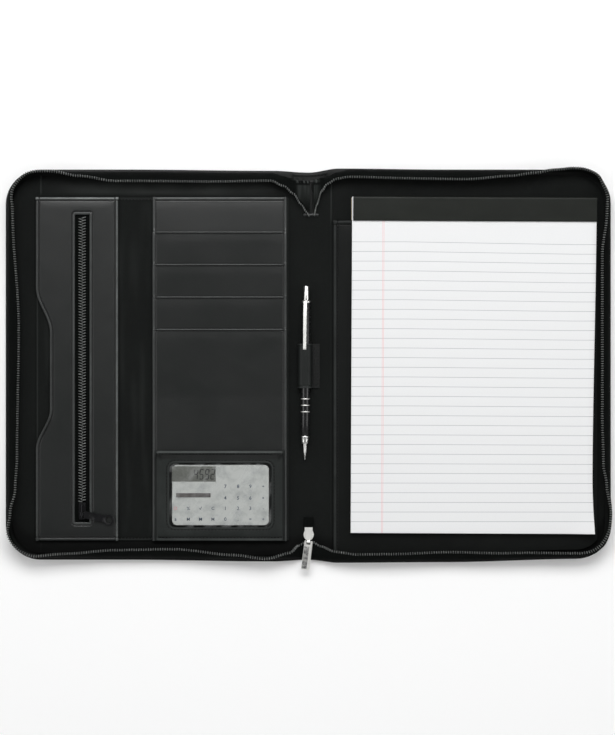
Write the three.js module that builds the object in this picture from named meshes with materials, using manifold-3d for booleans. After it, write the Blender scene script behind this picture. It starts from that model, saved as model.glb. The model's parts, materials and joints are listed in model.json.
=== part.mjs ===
// A black leather zip-round document case, unzipped and lying open on its back.
// Millimetres. X runs across the open case to the right, Y to its head, Z up. The underside lies at Z 0.
import * as THREE from 'three';
import { mergeVertices } from 'three/addons/utils/BufferGeometryUtils.js';
import Module from 'manifold-3d';

const wasm = await Module();
wasm.setup();

// Driving dimensions

const gap = 0.3; // left between pieces that lie on or in each other
const cutDepth = 20; // reach of a tool that cuts right through a panel

const pad = {
  width: 215.9, height: 297, // US letter sheets with their headband
  fromSpine: 18.9, fromHead: 25.2, toEdge: 14.4, toFoot: 24.6, // cover left free round the pad
  boardThickness: 0.8, paperThickness: 5,
  curlHeight: 2.4, curlReach: 30,
  headbandDepth: 21.8, headbandThickness: 0.9,
};

// Cover left free round the pocket panels, to the board's edge on three sides and to the spine on the right
const leftPockets = { left: 27.2, head: 24.6, foot: 17.8, right: 5.5 };

const cardPanel = { fromLeft: 103.3, width: 118.9, thickness: 1 };

const cover = {
  height: pad.fromHead + pad.height + pad.toFoot, // foot to head
  leftWidth: leftPockets.left + cardPanel.fromLeft + cardPanel.width + leftPockets.right, // board under them
  spineWidth: 32.7,
  rightWidth: pad.fromSpine + pad.width + pad.toEdge, // board under the writing pad
  cornerRadius: 31,
  thickness: 3.2, // board with its leather
  spineThickness: 2,
  edgeRounding: 0.8,
};

const zip = {
  tapeWidth: 15, // foot of the gusset to the middle of the coil
  tapeThickness: 1.2,
  coilRadius: 1.3,
  coilGap: 0.4,
  mouth: 1.9, // each coil's end from the middle of the mouth
  footMouth: 0.3, // middle of the mouth at the slider, across the case
  headMouth: 3.1, // middle of the mouth at the head of the spine
};

const lining = { inset: 5.5, thickness: 0.8, puckerHeight: 0.6, puckerPitch: 22, puckerDepth: 16 };

const spineBand = { width: 22, thickness: 1.3, inset: 1.2 };

const backing = { margin: 1.8, thickness: 0.8 }; // margin beyond the card panel

const documentPanel = {
  width: 73, thickness: 1.4, rise: 1, riseMargin: 8,
  thumbDepth: 12.4, // S-shaped cut in the open left edge
  thumbHeadStart: 80.6, thumbHeadEnd: 119.5, // from the panel's head
  thumbFootStart: 188.5, thumbFootEnd: 223,
};

const pocketZip = {
  fromLeft: 41.1, // middle of the slot from the panel's left edge
  fromHead: 14.2, fromFoot: 16.2, // ends of the slot from the panel's head and foot
  slotWidth: 12.7,
  tapeWidth: 18, tapeOverlap: 4.5, tapeThickness: 0.6,
  coilWidth: 7.2, coilHeight: 2.4, coilHeadRoom: 1,
  sliderRoom: 18, // slot left free of the coil for its slider
};

const cardPockets = {
  firstLip: 30.7, // from the panel's head
  pitch: 28.7,
  count: 4,
  thickness: 1,
  overlap: 9, // each front runs on below the next lip
  lipRise: 2, // a lip stands this far above its own foot
  lastRiseLength: 60,
};

const calculator = {
  width: 85.6, height: 53.4, thickness: 2.4, cornerRadius: 4.5,
  displayWidth: 40, displayHeight: 14.8, displayInset: 0.8, displayRadius: 0.4, recess: 0.3, rounding: 0.3,
  cellWidth: 31, cellHeight: 4.2, cellLeft: 4.2, cellTop: 25,
};

const calculatorPocket = {
  height: 79.9, // from the card panel's foot to the lip
  thickness: 1,
  windowLeft: 15.2, windowTop: 10.9, windowWidth: 90.2, windowHeight: 56.7, windowRadius: 5,
  slope: 9, // margin over which the frame falls to its seams
  lipShare: 0.45,
};

const film = { thickness: 0.3, tuck: 2.5 };

const penLoop = {
  width: 13.3, length: 39, wall: 1.1, baseWidth: 19.8, roundness: 3,
  fromSpineLeft: 3.9, // left side of the loop from the fold of the spine
  fromHead: 154.7, // loop's upper edge from the cover's head
};

const pen = {
  radius: 3.75, fromSpineLeft: 11.8, fromLoopTop: 51.2, lean: -0.5, roll: -10,
  clickerLength: 12.9, clickerRadius: 2.45, clickerRounding: 0.5,
  collarLength: 2.2, collarRadius: 4, collarRounding: 0.5, collarFlare: 1.2,
  barrelLength: 117.5,
  ringRadius: 4, ringLength: 1, ringGroove: 0.5, firstRing: 84.2, ringPitch: 5.7, ringCount: 3,
  tipRadius: 3.6, tipRim: 1, tipNeck: 2.9, tipLength: 6.8, nibRadius: 1.6, nibLength: 14.2, pointRadius: 0.35,
  clipWidth: 3.1, clipThickness: 0.7, clipLength: 43, clipRun: 15, clipStart: 0.4, clipRounding: 0.15,
};

const padPocket = { fromSpine: 3, right: 12.5, head: 45.3, foot: 8.5, thickness: 1.2 };

const slider = {
  fromFoot: 23.8, // widest point of the cap from the cover's foot
  capHalfWidth: 4.7, capNeck: 7.2, capHead: 5.7, capTip: 6.2, capHeight: 1,
  plateThickness: 1, plateInset: 0.5, channel: 2.9,
  postWidth: 2, postLength: 2.4, postAt: -1.4, flange: 0.9, flangeLength: 6,
  eyeRadius: 1.4, eyeHole: 0.85, eyeWidth: 2.4, eyeOut: 0.7, eyeRise: 1.3,
  bridgeReach: 1.2, bridgeDrop: 0.3, // block between the cap's tip and the eye
  rounding: 0.35, bury: 0.2, // how far joined parts run into each other
};

const pull = {
  width: 7.4, length: 25.4, thickness: 1.2, pinRadius: 0.5, sideClearance: 0.5,
  windowLength: 2.6, cornerRadius: 0.5, rounding: 0.25, yaw: -7.1, droop: 6,
};

const tail = { width: 9, length: 8, thickness: 1.5, rise: 1.4 };

const pocketSlider = {
  width: 6.6, length: 15, height: 2.4,
  barRadius: 0.7, barRise: 2.4, postLength: 1.6, headPost: 5.6, footPost: 5.4,
  shoulder: 0.2, footShare: 0.8, headShare: 0.9, rounding: 0.4, bury: 0.1,
};

const pocketPull = {
  knuckleRadius: 1.9, knuckleHole: 1.1, knuckleLength: 2.6, fromSliderMiddle: 2.4,
  neckStart: 1.4, neckLength: 3.2, width: 6.2, thickness: 1.1, length: 24.4, yaw: -12.6,
  ringRadius: 4.6, ringHole: 3.1, ringExtra: 0.1, droop: 5.4,
};

// How the open zip leans, from the foot of the spine round a half to its head. at is a share of the way round,
// seat, inward, reach and lift are shares of the tape's width: how far in from the cover's edge the tape
// stands, how far further in its coil lies, how long the tape is there and how far its foot is raised.
const leftLean = [
  { at: 0, seat: 0.13, inward: 1.0, reach: 1.03, lift: 0 },
  { at: 0.008, seat: 0.13, inward: 0.78, reach: 0.84, lift: 0 },
  { at: 0.017, seat: 0.13, inward: 0.42, reach: 0.85, lift: 0 },
  { at: 0.042, seat: 0.13, inward: 0.13, reach: 0.9, lift: 0 },
  { at: 0.073, seat: 0.13, inward: 0.33, reach: 0.95, lift: 0 },
  { at: 0.135, seat: 0.13, inward: 0.6, reach: 1, lift: 0 },
  { at: 0.197, seat: 0.13, inward: 0.53, reach: 1, lift: 0 },
  { at: 0.245, seat: 0.13, inward: 0.33, reach: 1, lift: 0 },
  { at: 0.289, seat: 0.13, inward: 0.15, reach: 1, lift: 0 },
  { at: 0.322, seat: 0.13, inward: 0.08, reach: 1, lift: 0 },
  { at: 0.347, seat: 0.13, inward: 0.29, reach: 1, lift: 0 },
  { at: 0.37, seat: 0.13, inward: 0.56, reach: 1, lift: 0 },
  { at: 0.403, seat: 0.13, inward: 0.66, reach: 1, lift: 0 },
  { at: 0.538, seat: 0.13, inward: 0.75, reach: 1, lift: 0 },
  { at: 0.658, seat: 0.13, inward: 0.42, reach: 1, lift: 0 },
  { at: 0.69, seat: 0.13, inward: 0.19, reach: 1, lift: 0 },
  { at: 0.71, seat: 0.13, inward: 0.05, reach: 1, lift: 0 },
  { at: 0.733, seat: 0.13, inward: 0.06, reach: 1, lift: 0 },
  { at: 0.763, seat: 0.13, inward: 0.35, reach: 1, lift: 0 },
  { at: 0.8, seat: 0.13, inward: 0.63, reach: 1, lift: 0 },
  { at: 0.886, seat: 0.13, inward: 0.63, reach: 1, lift: 0 },
  { at: 0.96, seat: 0.13, inward: 0.55, reach: 0.95, lift: 0 },
  { at: 0.973, seat: 0.3, inward: 0.64, reach: 0.82, lift: 0.07 },
  { at: 0.983, seat: 0.5, inward: 0.83, reach: 0.88, lift: 0.14 },
  { at: 0.991, seat: 0.5, inward: 1.43, reach: 1.45, lift: 0.14 },
  { at: 0.997, seat: 0.5, inward: 1.9, reach: 1.91, lift: 0.14 },
  { at: 1, seat: 0.5, inward: 2.14, reach: 2.15, lift: 0.14 },
];

const rightLean = [
  { at: 0, seat: 0.13, inward: 1.0, reach: 1.03, lift: 0 },
  { at: 0.011, seat: 0.13, inward: 0.78, reach: 0.86, lift: 0 },
  { at: 0.026, seat: 0.13, inward: 0.59, reach: 0.95, lift: 0 },
  { at: 0.048, seat: 0.13, inward: 0.46, reach: 1, lift: 0 },
  { at: 0.085, seat: 0.13, inward: 0.46, reach: 1, lift: 0 },
  { at: 0.145, seat: 0.13, inward: 0.55, reach: 1, lift: 0 },
  { at: 0.208, seat: 0.13, inward: 0.42, reach: 1, lift: 0 },
  { at: 0.277, seat: 0.13, inward: 0.3, reach: 1, lift: 0 },
  { at: 0.312, seat: 0.13, inward: 0.21, reach: 1, lift: 0 },
  { at: 0.348, seat: 0.13, inward: 0.01, reach: 1, lift: 0 },
  { at: 0.378, seat: 0.13, inward: 0.27, reach: 1, lift: 0 },
  { at: 0.398, seat: 0.13, inward: 0.45, reach: 1, lift: 0 },
  { at: 0.45, seat: 0.13, inward: 0.51, reach: 1, lift: 0 },
  { at: 0.616, seat: 0.13, inward: 0.51, reach: 1, lift: 0 },
  { at: 0.66, seat: 0.13, inward: 0.25, reach: 1, lift: 0 },
  { at: 0.69, seat: 0.13, inward: 0.14, reach: 1, lift: 0 },
  { at: 0.706, seat: 0.13, inward: -0.1, reach: 1, lift: 0 },
  { at: 0.732, seat: 0.13, inward: -0.14, reach: 1, lift: 0 },
  { at: 0.75, seat: 0.13, inward: -0.04, reach: 1, lift: 0 },
  { at: 0.771, seat: 0.13, inward: 0.17, reach: 1, lift: 0 },
  { at: 0.797, seat: 0.13, inward: 0.35, reach: 1, lift: 0 },
  { at: 0.84, seat: 0.13, inward: 0.53, reach: 1, lift: 0 },
  { at: 0.9, seat: 0.13, inward: 0.5, reach: 1, lift: 0 },
  { at: 0.964, seat: 0.13, inward: 0.45, reach: 0.95, lift: 0 },
  { at: 0.976, seat: 0.3, inward: 0.38, reach: 0.75, lift: 0.07 },
  { at: 0.986, seat: 0.5, inward: 0.4, reach: 0.6, lift: 0.14 },
  { at: 0.992, seat: 0.5, inward: 0.75, reach: 0.8, lift: 0.14 },
  { at: 0.997, seat: 0.5, inward: 1.5, reach: 1.52, lift: 0.14 },
  { at: 1, seat: 0.5, inward: 2.14, reach: 2.15, lift: 0.14 },
];

// How the cover's head and foot edges stray from straight. at is a share of the way across, head and foot are
// shares of the cover's height, outwards.
const edgeSway = [
  { at: 0, head: 0, foot: -0.002 },
  { at: 0.2, head: 0, foot: -0.002 },
  { at: 0.44, head: -0.003, foot: 0.0026 },
  { at: 0.5, head: -0.0075, foot: -0.0014 },
  { at: 0.55, head: 0.0026, foot: 0.006 },
  { at: 0.73, head: 0, foot: 0.0043 },
  { at: 0.95, head: 0, foot: -0.004 },
  { at: 1, head: 0, foot: -0.002 },
];

// Levels and lines worked out from the sizes

const width = cover.leftWidth + cover.spineWidth + cover.rightWidth;
const leftEdge = -width / 2;
const rightEdge = width / 2;
const spineLeft = leftEdge + cover.leftWidth;
const spineRight = spineLeft + cover.spineWidth;
const headEdge = cover.height / 2;
const footEdge = -headEdge;

const liningFloor = cover.thickness + gap;
const liningTop = liningFloor + lining.thickness;
const backingFloor = liningTop + gap;
const backingTop = backingFloor + backing.thickness;
const panelFloor = backingTop + gap;
const panelHead = headEdge - leftPockets.head;
const panelFoot = footEdge + leftPockets.foot;
const panelLeft = leftEdge + leftPockets.left;
const panelLength = panelHead - panelFoot;
const slotLength = panelLength - pocketZip.fromHead - pocketZip.fromFoot;
const coilLength = slotLength - pocketZip.coilHeadRoom - pocketZip.sliderRoom;

// Shared helpers

const smooth = (from, to, value) => {
  const share = Math.min(Math.max((value - from) / (to - from), 0), 1);
  return share * share * (3 - 2 * share);
};

// Value of one column of a table, eased from row to row.
function read(table, column, at) {
  const next = table.findIndex((row) => row.at >= at);
  if (next <= 0) return table[next === 0 ? 0 : table.length - 1][column];
  const [before, after] = [table[next - 1], table[next]];
  return THREE.MathUtils.lerp(before[column], after[column], smooth(before.at, after.at, at));
}

// Shares from 0 to 1 with extra steps within a margin at both ends.
function shares(length, margin, count) {
  const edge = margin / length;
  const middle = Array.from({ length: count + 1 }, (_, i) => edge + ((1 - 2 * edge) * i) / count);
  return [0, edge / 2, ...middle, 1 - edge / 2, 1];
}

const evenly = (count) => Array.from({ length: count + 1 }, (_, i) => i / count);

// Closed solid from shared corners and triangles, turned so that its faces point outwards.
function closedSolid(corners, triangles) {
  const volume = triangles.reduce((sum, [a, b, c]) => (
    sum + corners[a].dot(new THREE.Vector3().crossVectors(corners[b], corners[c]))
  ), 0);
  const index = triangles.flatMap(([a, b, c]) => (volume > 0 ? [a, b, c] : [a, c, b]));
  const geometry = new THREE.BufferGeometry();
  geometry.setAttribute('position', new THREE.Float32BufferAttribute(corners.flatMap((p) => p.toArray()), 3));
  geometry.setIndex(index);
  return geometry;
}

// Solid between two grids of points with the same rows and columns.
function slab(upper, lower) {
  const rows = upper.length;
  const columns = upper[0].length;
  const top = (i, j) => i * columns + j;
  const under = (i, j) => rows * columns + top(i, j);
  const triangles = [];
  const quad = (a, b, c, d) => triangles.push([a, b, c], [a, c, d]);
  for (let i = 0; i < rows - 1; i += 1) {
    for (let j = 0; j < columns - 1; j += 1) {
      quad(top(i, j), top(i, j + 1), top(i + 1, j + 1), top(i + 1, j));
      quad(under(i, j), under(i + 1, j), under(i + 1, j + 1), under(i, j + 1));
    }
    quad(top(i + 1, 0), under(i + 1, 0), under(i, 0), top(i, 0));
    quad(top(i, columns - 1), under(i, columns - 1), under(i + 1, columns - 1), top(i + 1, columns - 1));
  }
  for (let j = 0; j < columns - 1; j += 1) {
    quad(top(0, j), under(0, j), under(0, j + 1), top(0, j + 1));
    quad(top(rows - 1, j + 1), under(rows - 1, j + 1), under(rows - 1, j), top(rows - 1, j));
  }
  return closedSolid([...upper.flat(), ...lower.flat()], triangles);
}

// Sheet of leather or cloth: its edges, floor and thickness may each be a number or a function.
function sheet({ left, right, foot, head, floor, thickness, columns, rows }) {
  const value = (size, ...at) => (typeof size === 'function' ? size(...at) : size);
  const lower = rows.map((v) => columns.map((u) => {
    const x = THREE.MathUtils.lerp(value(left, v), value(right, v), u);
    const y = THREE.MathUtils.lerp(value(foot, x), value(head, x), v);
    return new THREE.Vector3(x, y, value(floor, x, y));
  }));
  const upper = lower.map((row) => row.map((p) => (
    new THREE.Vector3(p.x, p.y, p.z + value(thickness, p.x, p.y))
  )));
  return slab(upper, lower);
}

// Solid swept through rings of points, closed by flat ends.
function sweep(rings) {
  const sides = rings[0].length;
  const at = (i, j) => i * sides + (j % sides);
  const triangles = [];
  for (let i = 0; i < rings.length - 1; i += 1) {
    for (let j = 0; j < sides; j += 1) {
      triangles.push([at(i, j), at(i, j + 1), at(i + 1, j + 1)], [at(i, j), at(i + 1, j + 1), at(i + 1, j)]);
    }
  }
  for (let j = 1; j < sides - 1; j += 1) {
    triangles.push([at(0, 0), at(0, j + 1), at(0, j)]);
    triangles.push([at(rings.length - 1, 0), at(rings.length - 1, j), at(rings.length - 1, j + 1)]);
  }
  return closedSolid(rings.flat(), triangles);
}

function toManifold(geometry) {
  const bare = geometry.clone();
  bare.deleteAttribute('normal');
  bare.deleteAttribute('uv');
  const merged = mergeVertices(bare);
  return new wasm.Manifold(new wasm.Mesh({
    numProp: 3,
    vertProperties: new Float32Array(merged.attributes.position.array),
    triVerts: new Uint32Array(merged.index.array),
  }));
}

function toGeometry(solid) {
  const mesh = solid.getMesh();
  const geometry = new THREE.BufferGeometry();
  geometry.setAttribute('position', new THREE.BufferAttribute(new Float32Array(mesh.vertProperties), 3));
  geometry.setIndex(new THREE.BufferAttribute(new Uint32Array(mesh.triVerts), 1));
  return geometry;
}

const cut = (body, ...tools) => toGeometry(
  tools.reduce((solid, tool) => solid.subtract(toManifold(tool)), toManifold(body)),
);

const join = (...pieces) => toGeometry(
  pieces.slice(1).reduce((solid, piece) => solid.add(toManifold(piece)), toManifold(pieces[0])),
);

function box(sizeX, sizeY, sizeZ, x, y, z) {
  return new THREE.BoxGeometry(sizeX, sizeY, sizeZ).translate(x, y, z);
}

function roundedRectangle(left, foot, sizeX, sizeY, radius) {
  const right = left + sizeX;
  const head = foot + sizeY;
  const outline = new THREE.Shape();
  outline.moveTo(left + radius, foot);
  outline.lineTo(right - radius, foot);
  outline.absarc(right - radius, foot + radius, radius, -Math.PI / 2, 0);
  outline.absarc(right - radius, head - radius, radius, 0, Math.PI / 2);
  outline.absarc(left + radius, head - radius, radius, Math.PI / 2, Math.PI);
  outline.absarc(left + radius, foot + radius, radius, Math.PI, 1.5 * Math.PI);
  return outline;
}

// Flat plate of an outline, standing on a floor, its edges rounded where a rounding is given.
function plate(outline, floor, thickness, { rounding = 0, curveSegments = 4 } = {}) {
  return new THREE.ExtrudeGeometry(outline, {
    depth: thickness - 2 * rounding,
    bevelEnabled: rounding > 0,
    bevelThickness: rounding,
    bevelSize: rounding,
    bevelOffset: -rounding,
    bevelSegments: 1,
    curveSegments,
  }).translate(0, 0, floor + rounding);
}

// Cylinder along X or Y.
function rod(axis, radius, length, sides) {
  const cylinder = new THREE.CylinderGeometry(radius, radius, length, sides);
  return axis === 'x' ? cylinder.rotateZ(Math.PI / 2) : cylinder;
}

const caseGroup = new THREE.Group();
const finishes = {
  leather: { color: 0x2a2c2b, roughness: 0.55, metalness: 0 },
  lining: { color: 0x141615, roughness: 0.85, metalness: 0 },
  zip: { color: 0x101211, roughness: 0.6, metalness: 0 },
  nickel: { color: 0xcfcfca, roughness: 0.28, metalness: 1 },
  gunmetal: { color: 0x1c1d1e, roughness: 0.35, metalness: 0.8 },
  enamel: { color: 0x161718, roughness: 0.25, metalness: 0.2 },
  casing: { color: 0xc6c8c4, roughness: 0.4, metalness: 0 },
  clear: { color: 0xf2f4f3, roughness: 0.15, metalness: 0 },
  paper: { color: 0xeff0f1, roughness: 0.9, metalness: 0 },
  board: { color: 0xb9ad98, roughness: 0.9, metalness: 0 },
};

function add(name, geometry, finish, parent = caseGroup) {
  const mesh = new THREE.Mesh(geometry, new THREE.MeshStandardMaterial(finishes[finish]));
  mesh.name = name;
  parent.add(mesh);
  return mesh;
}

// Cover and lining

// Height of the head or foot edge at a place across the case, with its rounded corners.
function edgeAt(side, x, inset = 0) {
  const radius = cover.cornerRadius - inset;
  const intoCorner = radius - (width / 2 - inset - Math.abs(x));
  const corner = intoCorner > 0 ? radius - Math.sqrt(Math.max(radius ** 2 - intoCorner ** 2, 0)) : 0;
  const sway = cover.height * read(edgeSway, side, (x - leftEdge) / width);
  const height = headEdge - inset + sway - corner;
  return side === 'head' ? height : -height;
}

// Shares across the case, close together where its corners turn.
function acrossCase(inset, cornerSteps, middleSteps) {
  const span = width - 2 * inset;
  const corner = (cover.cornerRadius - inset) / span;
  const turn = evenly(cornerSteps).map((share) => corner * (1 - Math.cos((share * Math.PI) / 2)));
  const middle = evenly(middleSteps).slice(1, -1).map((share) => corner + (1 - 2 * corner) * share);
  return [...turn, ...middle, ...turn.map((share) => 1 - share).reverse()];
}

function buildCover() {
  const across = acrossCase(0, 6, 22).map((share) => leftEdge + width * share);
  const outline = new THREE.Shape([
    ...across.map((x) => new THREE.Vector2(x, edgeAt('foot', x))),
    ...across.reverse().map((x) => new THREE.Vector2(x, edgeAt('head', x))),
  ]);
  const relief = box(
    cover.spineWidth, cover.height + cutDepth, cover.thickness,
    spineLeft + cover.spineWidth / 2, 0, cover.spineThickness + cover.thickness / 2,
  );
  add('cover', cut(plate(outline, 0, cover.thickness, { rounding: cover.edgeRounding }), relief), 'leather');
}

function buildLining() {
  const pucker = (x, y) => {
    const fromHead = edgeAt('head', x, lining.inset) - y;
    const band = smooth(0, lining.puckerDepth / 3, fromHead)
      * (1 - smooth(lining.puckerDepth / 2, lining.puckerDepth, fromHead));
    return lining.puckerHeight * band * (0.5 + 0.5 * Math.sin((2 * Math.PI * x) / lining.puckerPitch));
  };
  const foldedHead = [0.5, 0.94, 0.96, 0.98, 1];
  add('lining', sheet({
    left: leftEdge + lining.inset,
    right: rightEdge - lining.inset,
    foot: (x) => edgeAt('foot', x, lining.inset),
    head: (x) => edgeAt('head', x, lining.inset),
    floor: (x, y) => liningFloor + pucker(x, y),
    thickness: lining.thickness,
    columns: acrossCase(lining.inset, 6, 44),
    rows: [0, ...foldedHead],
  }), 'lining');
}

// Main zip

// Places along the cover's edge round one half, from the foot of the spine to its head, each with its share
// of the way round and the direction that points into the case.
function edgeRoute(side) {
  const outward = side === 'left' ? -1 : 1;
  const start = outward * zip.footMouth + zip.mouth;
  const end = outward * zip.headMouth + zip.mouth;
  const radius = cover.cornerRadius;
  const straight = width / 2 - radius;
  const runs = [
    { steps: 20, length: straight - start, ease: (s) => s ** 1.6 },
    { steps: 7, length: (radius * Math.PI) / 2, ease: (s) => s },
    { steps: 14, length: cover.height - 2 * radius, ease: (s) => (1 - Math.cos(Math.PI * s)) / 2 },
    { steps: 7, length: (radius * Math.PI) / 2, ease: (s) => s },
    { steps: 24, length: straight - end, ease: (s) => 1 - (1 - s) ** 1.6 },
  ];
  const total = runs.reduce((sum, run) => sum + run.length, 0);
  const turned = (angle, centreY) => ({
    out: straight + radius * Math.cos(angle),
    y: centreY + radius * Math.sin(angle),
    inOut: -Math.cos(angle),
    inY: -Math.sin(angle),
  });
  const place = [
    (s) => ({ out: start + runs[0].length * s, y: footEdge, inOut: 0, inY: 1 }),
    (s) => turned(((s - 1) * Math.PI) / 2, footEdge + radius),
    (s) => ({ out: width / 2, y: footEdge + radius + runs[2].length * s, inOut: -1, inY: 0 }),
    (s) => turned((s * Math.PI) / 2, headEdge - radius),
    (s) => ({ out: straight - runs[4].length * s, y: headEdge, inOut: 0, inY: -1 }),
  ];
  const route = [];
  let gone = 0;
  runs.forEach((run, k) => {
    evenly(run.steps).slice(k === 0 ? 0 : 1).forEach((step) => {
      const along = run.ease(step);
      const { out, y, inOut, inY } = place[k](along);
      const x = outward * out;
      const edge = y > 0 ? 'head' : 'foot';
      const sway = Math.sign(y) * cover.height * read(edgeSway, edge, (x - leftEdge) / width);
      route.push({
        at: (gone + run.length * along) / total,
        point: new THREE.Vector3(x, y + sway * Math.abs(inY), cover.thickness + gap),
        inward: new THREE.Vector3(outward * inOut, inY, 0),
      });
    });
    gone += run.length;
  });
  return route;
}

// Curve of the tape's middle at one place, from its foot to the middle of the coil.
function tapeCurve({ at, point, inward }, lean) {
  const seat = zip.tapeWidth * read(lean, 'seat', at);
  const across = zip.tapeWidth * read(lean, 'inward', at);
  const reach = zip.tapeWidth * read(lean, 'reach', at);
  const lift = zip.tapeWidth * read(lean, 'lift', at);
  const rise = Math.sqrt(Math.max(reach ** 2 - across ** 2, 0));
  const foot = point.clone().addScaledVector(inward, seat).add(new THREE.Vector3(0, 0, lift));
  const beside = (along, up) => foot.clone().addScaledVector(inward, along).add(new THREE.Vector3(0, 0, up));
  return new THREE.QuadraticBezierCurve3(foot, beside(0.05 * across, 0.9 * rise), beside(across, rise));
}

// Share of a curve that ends a given distance short of its end.
function shareShortOf(curve, distance) {
  const end = curve.getPoint(1);
  let [low, high] = [0.3, 1];
  for (let i = 0; i < 16; i += 1) {
    const middle = (low + high) / 2;
    if (curve.getPoint(middle).distanceTo(end) > distance) low = middle;
    else high = middle;
  }
  return low;
}

function buildZipHalf(side, lean) {
  const route = edgeRoute(side);
  const curves = route.map((station) => tapeCurve(station, lean));
  const coil = curves.map((curve) => curve.getPoint(1));
  const tangents = coil.map((_, i) => (
    coil[Math.min(i + 1, coil.length - 1)].clone().sub(coil[Math.max(i - 1, 0)]).normalize()
  ));
  const acrossSteps = evenly(3);
  const [face, back] = [1, -1].map((facing) => curves.map((curve, i) => {
    const approach = curve.getTangent(1);
    const slant = new THREE.Vector3().crossVectors(approach, tangents[i]).length();
    const clear = (zip.coilRadius + zip.coilGap) / Math.max(slant, 0.2);
    const last = shareShortOf(curve, clear);
    return acrossSteps.map((share) => {
      const t = share * last;
      const along = curve.getTangent(t);
      const flat = along.dot(route[i].inward);
      const normal = route[i].inward.clone().multiplyScalar(-along.z).add(new THREE.Vector3(0, 0, flat));
      return curve.getPoint(t).addScaledVector(normal, (facing * zip.tapeThickness) / 2);
    });
  }));
  add(`gusset_${side}`, slab(face, back), 'zip');

  const up = new THREE.Vector3(0, 0, 1);
  const sides = 6;
  add(`zip_coil_${side}`, sweep(coil.map((centre, i) => {
    const beside = new THREE.Vector3().crossVectors(tangents[i], up).normalize();
    const above = new THREE.Vector3().crossVectors(beside, tangents[i]);
    return evenly(sides).slice(1).map((turn) => centre.clone()
      .addScaledVector(beside, zip.coilRadius * Math.cos(2 * Math.PI * turn))
      .addScaledVector(above, zip.coilRadius * Math.sin(2 * Math.PI * turn)));
  })), 'zip');
  return coil[0];
}

function buildSpineBand() {
  const middle = zip.headMouth;
  add('spine_band', sheet({
    left: middle - spineBand.width / 2,
    right: middle + spineBand.width / 2,
    foot: (x) => edgeAt('head', x, lining.inset - gap),
    head: (x) => edgeAt('head', x, spineBand.inset),
    floor: cover.thickness + gap,
    thickness: (x) => spineBand.thickness * (0.9 + 0.1 * Math.cos(x)),
    columns: evenly(10),
    rows: evenly(2),
  }), 'leather');
}

// Plan of the slider's cap: a straight neck at its head and a rounded tip at its foot.
function capOutline(inset) {
  const half = slider.capHalfWidth - inset;
  const neck = slider.capNeck / 2 - inset;
  const tip = slider.capTip - inset;
  const outline = new THREE.Shape();
  outline.moveTo(neck, slider.capHead - inset);
  outline.lineTo(-neck, slider.capHead - inset);
  outline.lineTo(-neck, slider.capHead / 2);
  outline.lineTo(-half, 0);
  outline.absellipse(0, 0, half, tip, Math.PI, 2 * Math.PI);
  outline.lineTo(neck, slider.capHead / 2);
  return outline;
}

function buildSlider(coilLevel) {
  const place = new THREE.Vector3(zip.footMouth, edgeAt('foot', zip.footMouth) + slider.fromFoot, coilLevel);
  const halfChannel = slider.channel / 2;
  const plateTop = halfChannel + slider.plateThickness;
  const capTop = plateTop + slider.capHeight;
  const flangeX = slider.capNeck / 2 - slider.plateInset - slider.flange / 2;
  const flange = (sideways, upwards) => box(
    slider.flange, slider.flangeLength, slider.flange + 2 * slider.bury,
    sideways * flangeX, slider.capHead - slider.plateInset - slider.flangeLength / 2,
    upwards * (halfChannel - slider.flange / 2 + slider.bury),
  );
  const ring = new THREE.Shape();
  ring.absarc(0, 0, slider.eyeRadius, 0, 2 * Math.PI);
  const hole = new THREE.Path();
  hole.absarc(0, 0, slider.eyeHole, 0, 2 * Math.PI, true);
  ring.holes.push(hole);
  const eyeY = -slider.capTip - slider.eyeOut;
  const eyeZ = plateTop + slider.eyeRise;
  const eye = plate(ring, -slider.eyeWidth / 2, slider.eyeWidth, { curveSegments: 8 })
    .rotateY(Math.PI / 2).translate(0, eyeY, eyeZ);
  const bridgeHeight = slider.capHeight + slider.plateThickness - slider.bridgeDrop;
  const bridge = box(
    slider.eyeWidth, slider.eyeOut + slider.bridgeReach, bridgeHeight,
    0, (slider.bridgeReach - slider.eyeOut) / 2 - slider.capTip, capTop - bridgeHeight / 2,
  );
  const pinHole = rod('x', slider.eyeHole, 2 * slider.capHalfWidth, 16).translate(0, eyeY, eyeZ);
  const body = join(
    plate(capOutline(0), plateTop - slider.bury / 2, slider.capHeight + slider.bury / 2, {
      rounding: slider.rounding, curveSegments: 10,
    }),
    plate(capOutline(slider.plateInset), halfChannel, slider.plateThickness, { curveSegments: 8 }),
    plate(capOutline(slider.plateInset), -plateTop, slider.plateThickness, { curveSegments: 8 }),
    box(slider.postWidth, slider.postLength, slider.channel + 2 * slider.bury, 0, slider.postAt, 0),
    flange(1, 1), flange(-1, 1), flange(1, -1), flange(-1, -1),
    eye, bridge,
  );
  const mesh = add('zip_slider', cut(body, pinHole), 'nickel');
  mesh.position.copy(place);
  return place.clone().add(new THREE.Vector3(0, eyeY, eyeZ));
}

function buildPull(pin) {
  const halfWindow = slider.eyeWidth / 2 + pull.sideClearance;
  const end = pull.thickness / 2;
  const outline = roundedRectangle(
    -pull.width / 2, -pull.length, pull.width, pull.length + end, pull.cornerRadius,
  );
  const window = box(
    2 * halfWindow, pull.windowLength + 2 * end, 2 * pull.thickness,
    0, -pull.windowLength / 2 + end, 0,
  );
  const tab = cut(
    plate(outline, -pull.thickness / 2, pull.thickness, { rounding: pull.rounding, curveSegments: 3 }), window,
  );
  const mesh = add('zip_pull', join(tab, rod('x', pull.pinRadius, pull.width - 2 * pull.pinRadius, 12)), 'nickel');
  mesh.position.copy(pin);
  mesh.rotation.set(THREE.MathUtils.degToRad(pull.droop), 0, THREE.MathUtils.degToRad(pull.yaw), 'ZYX');
}

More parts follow.
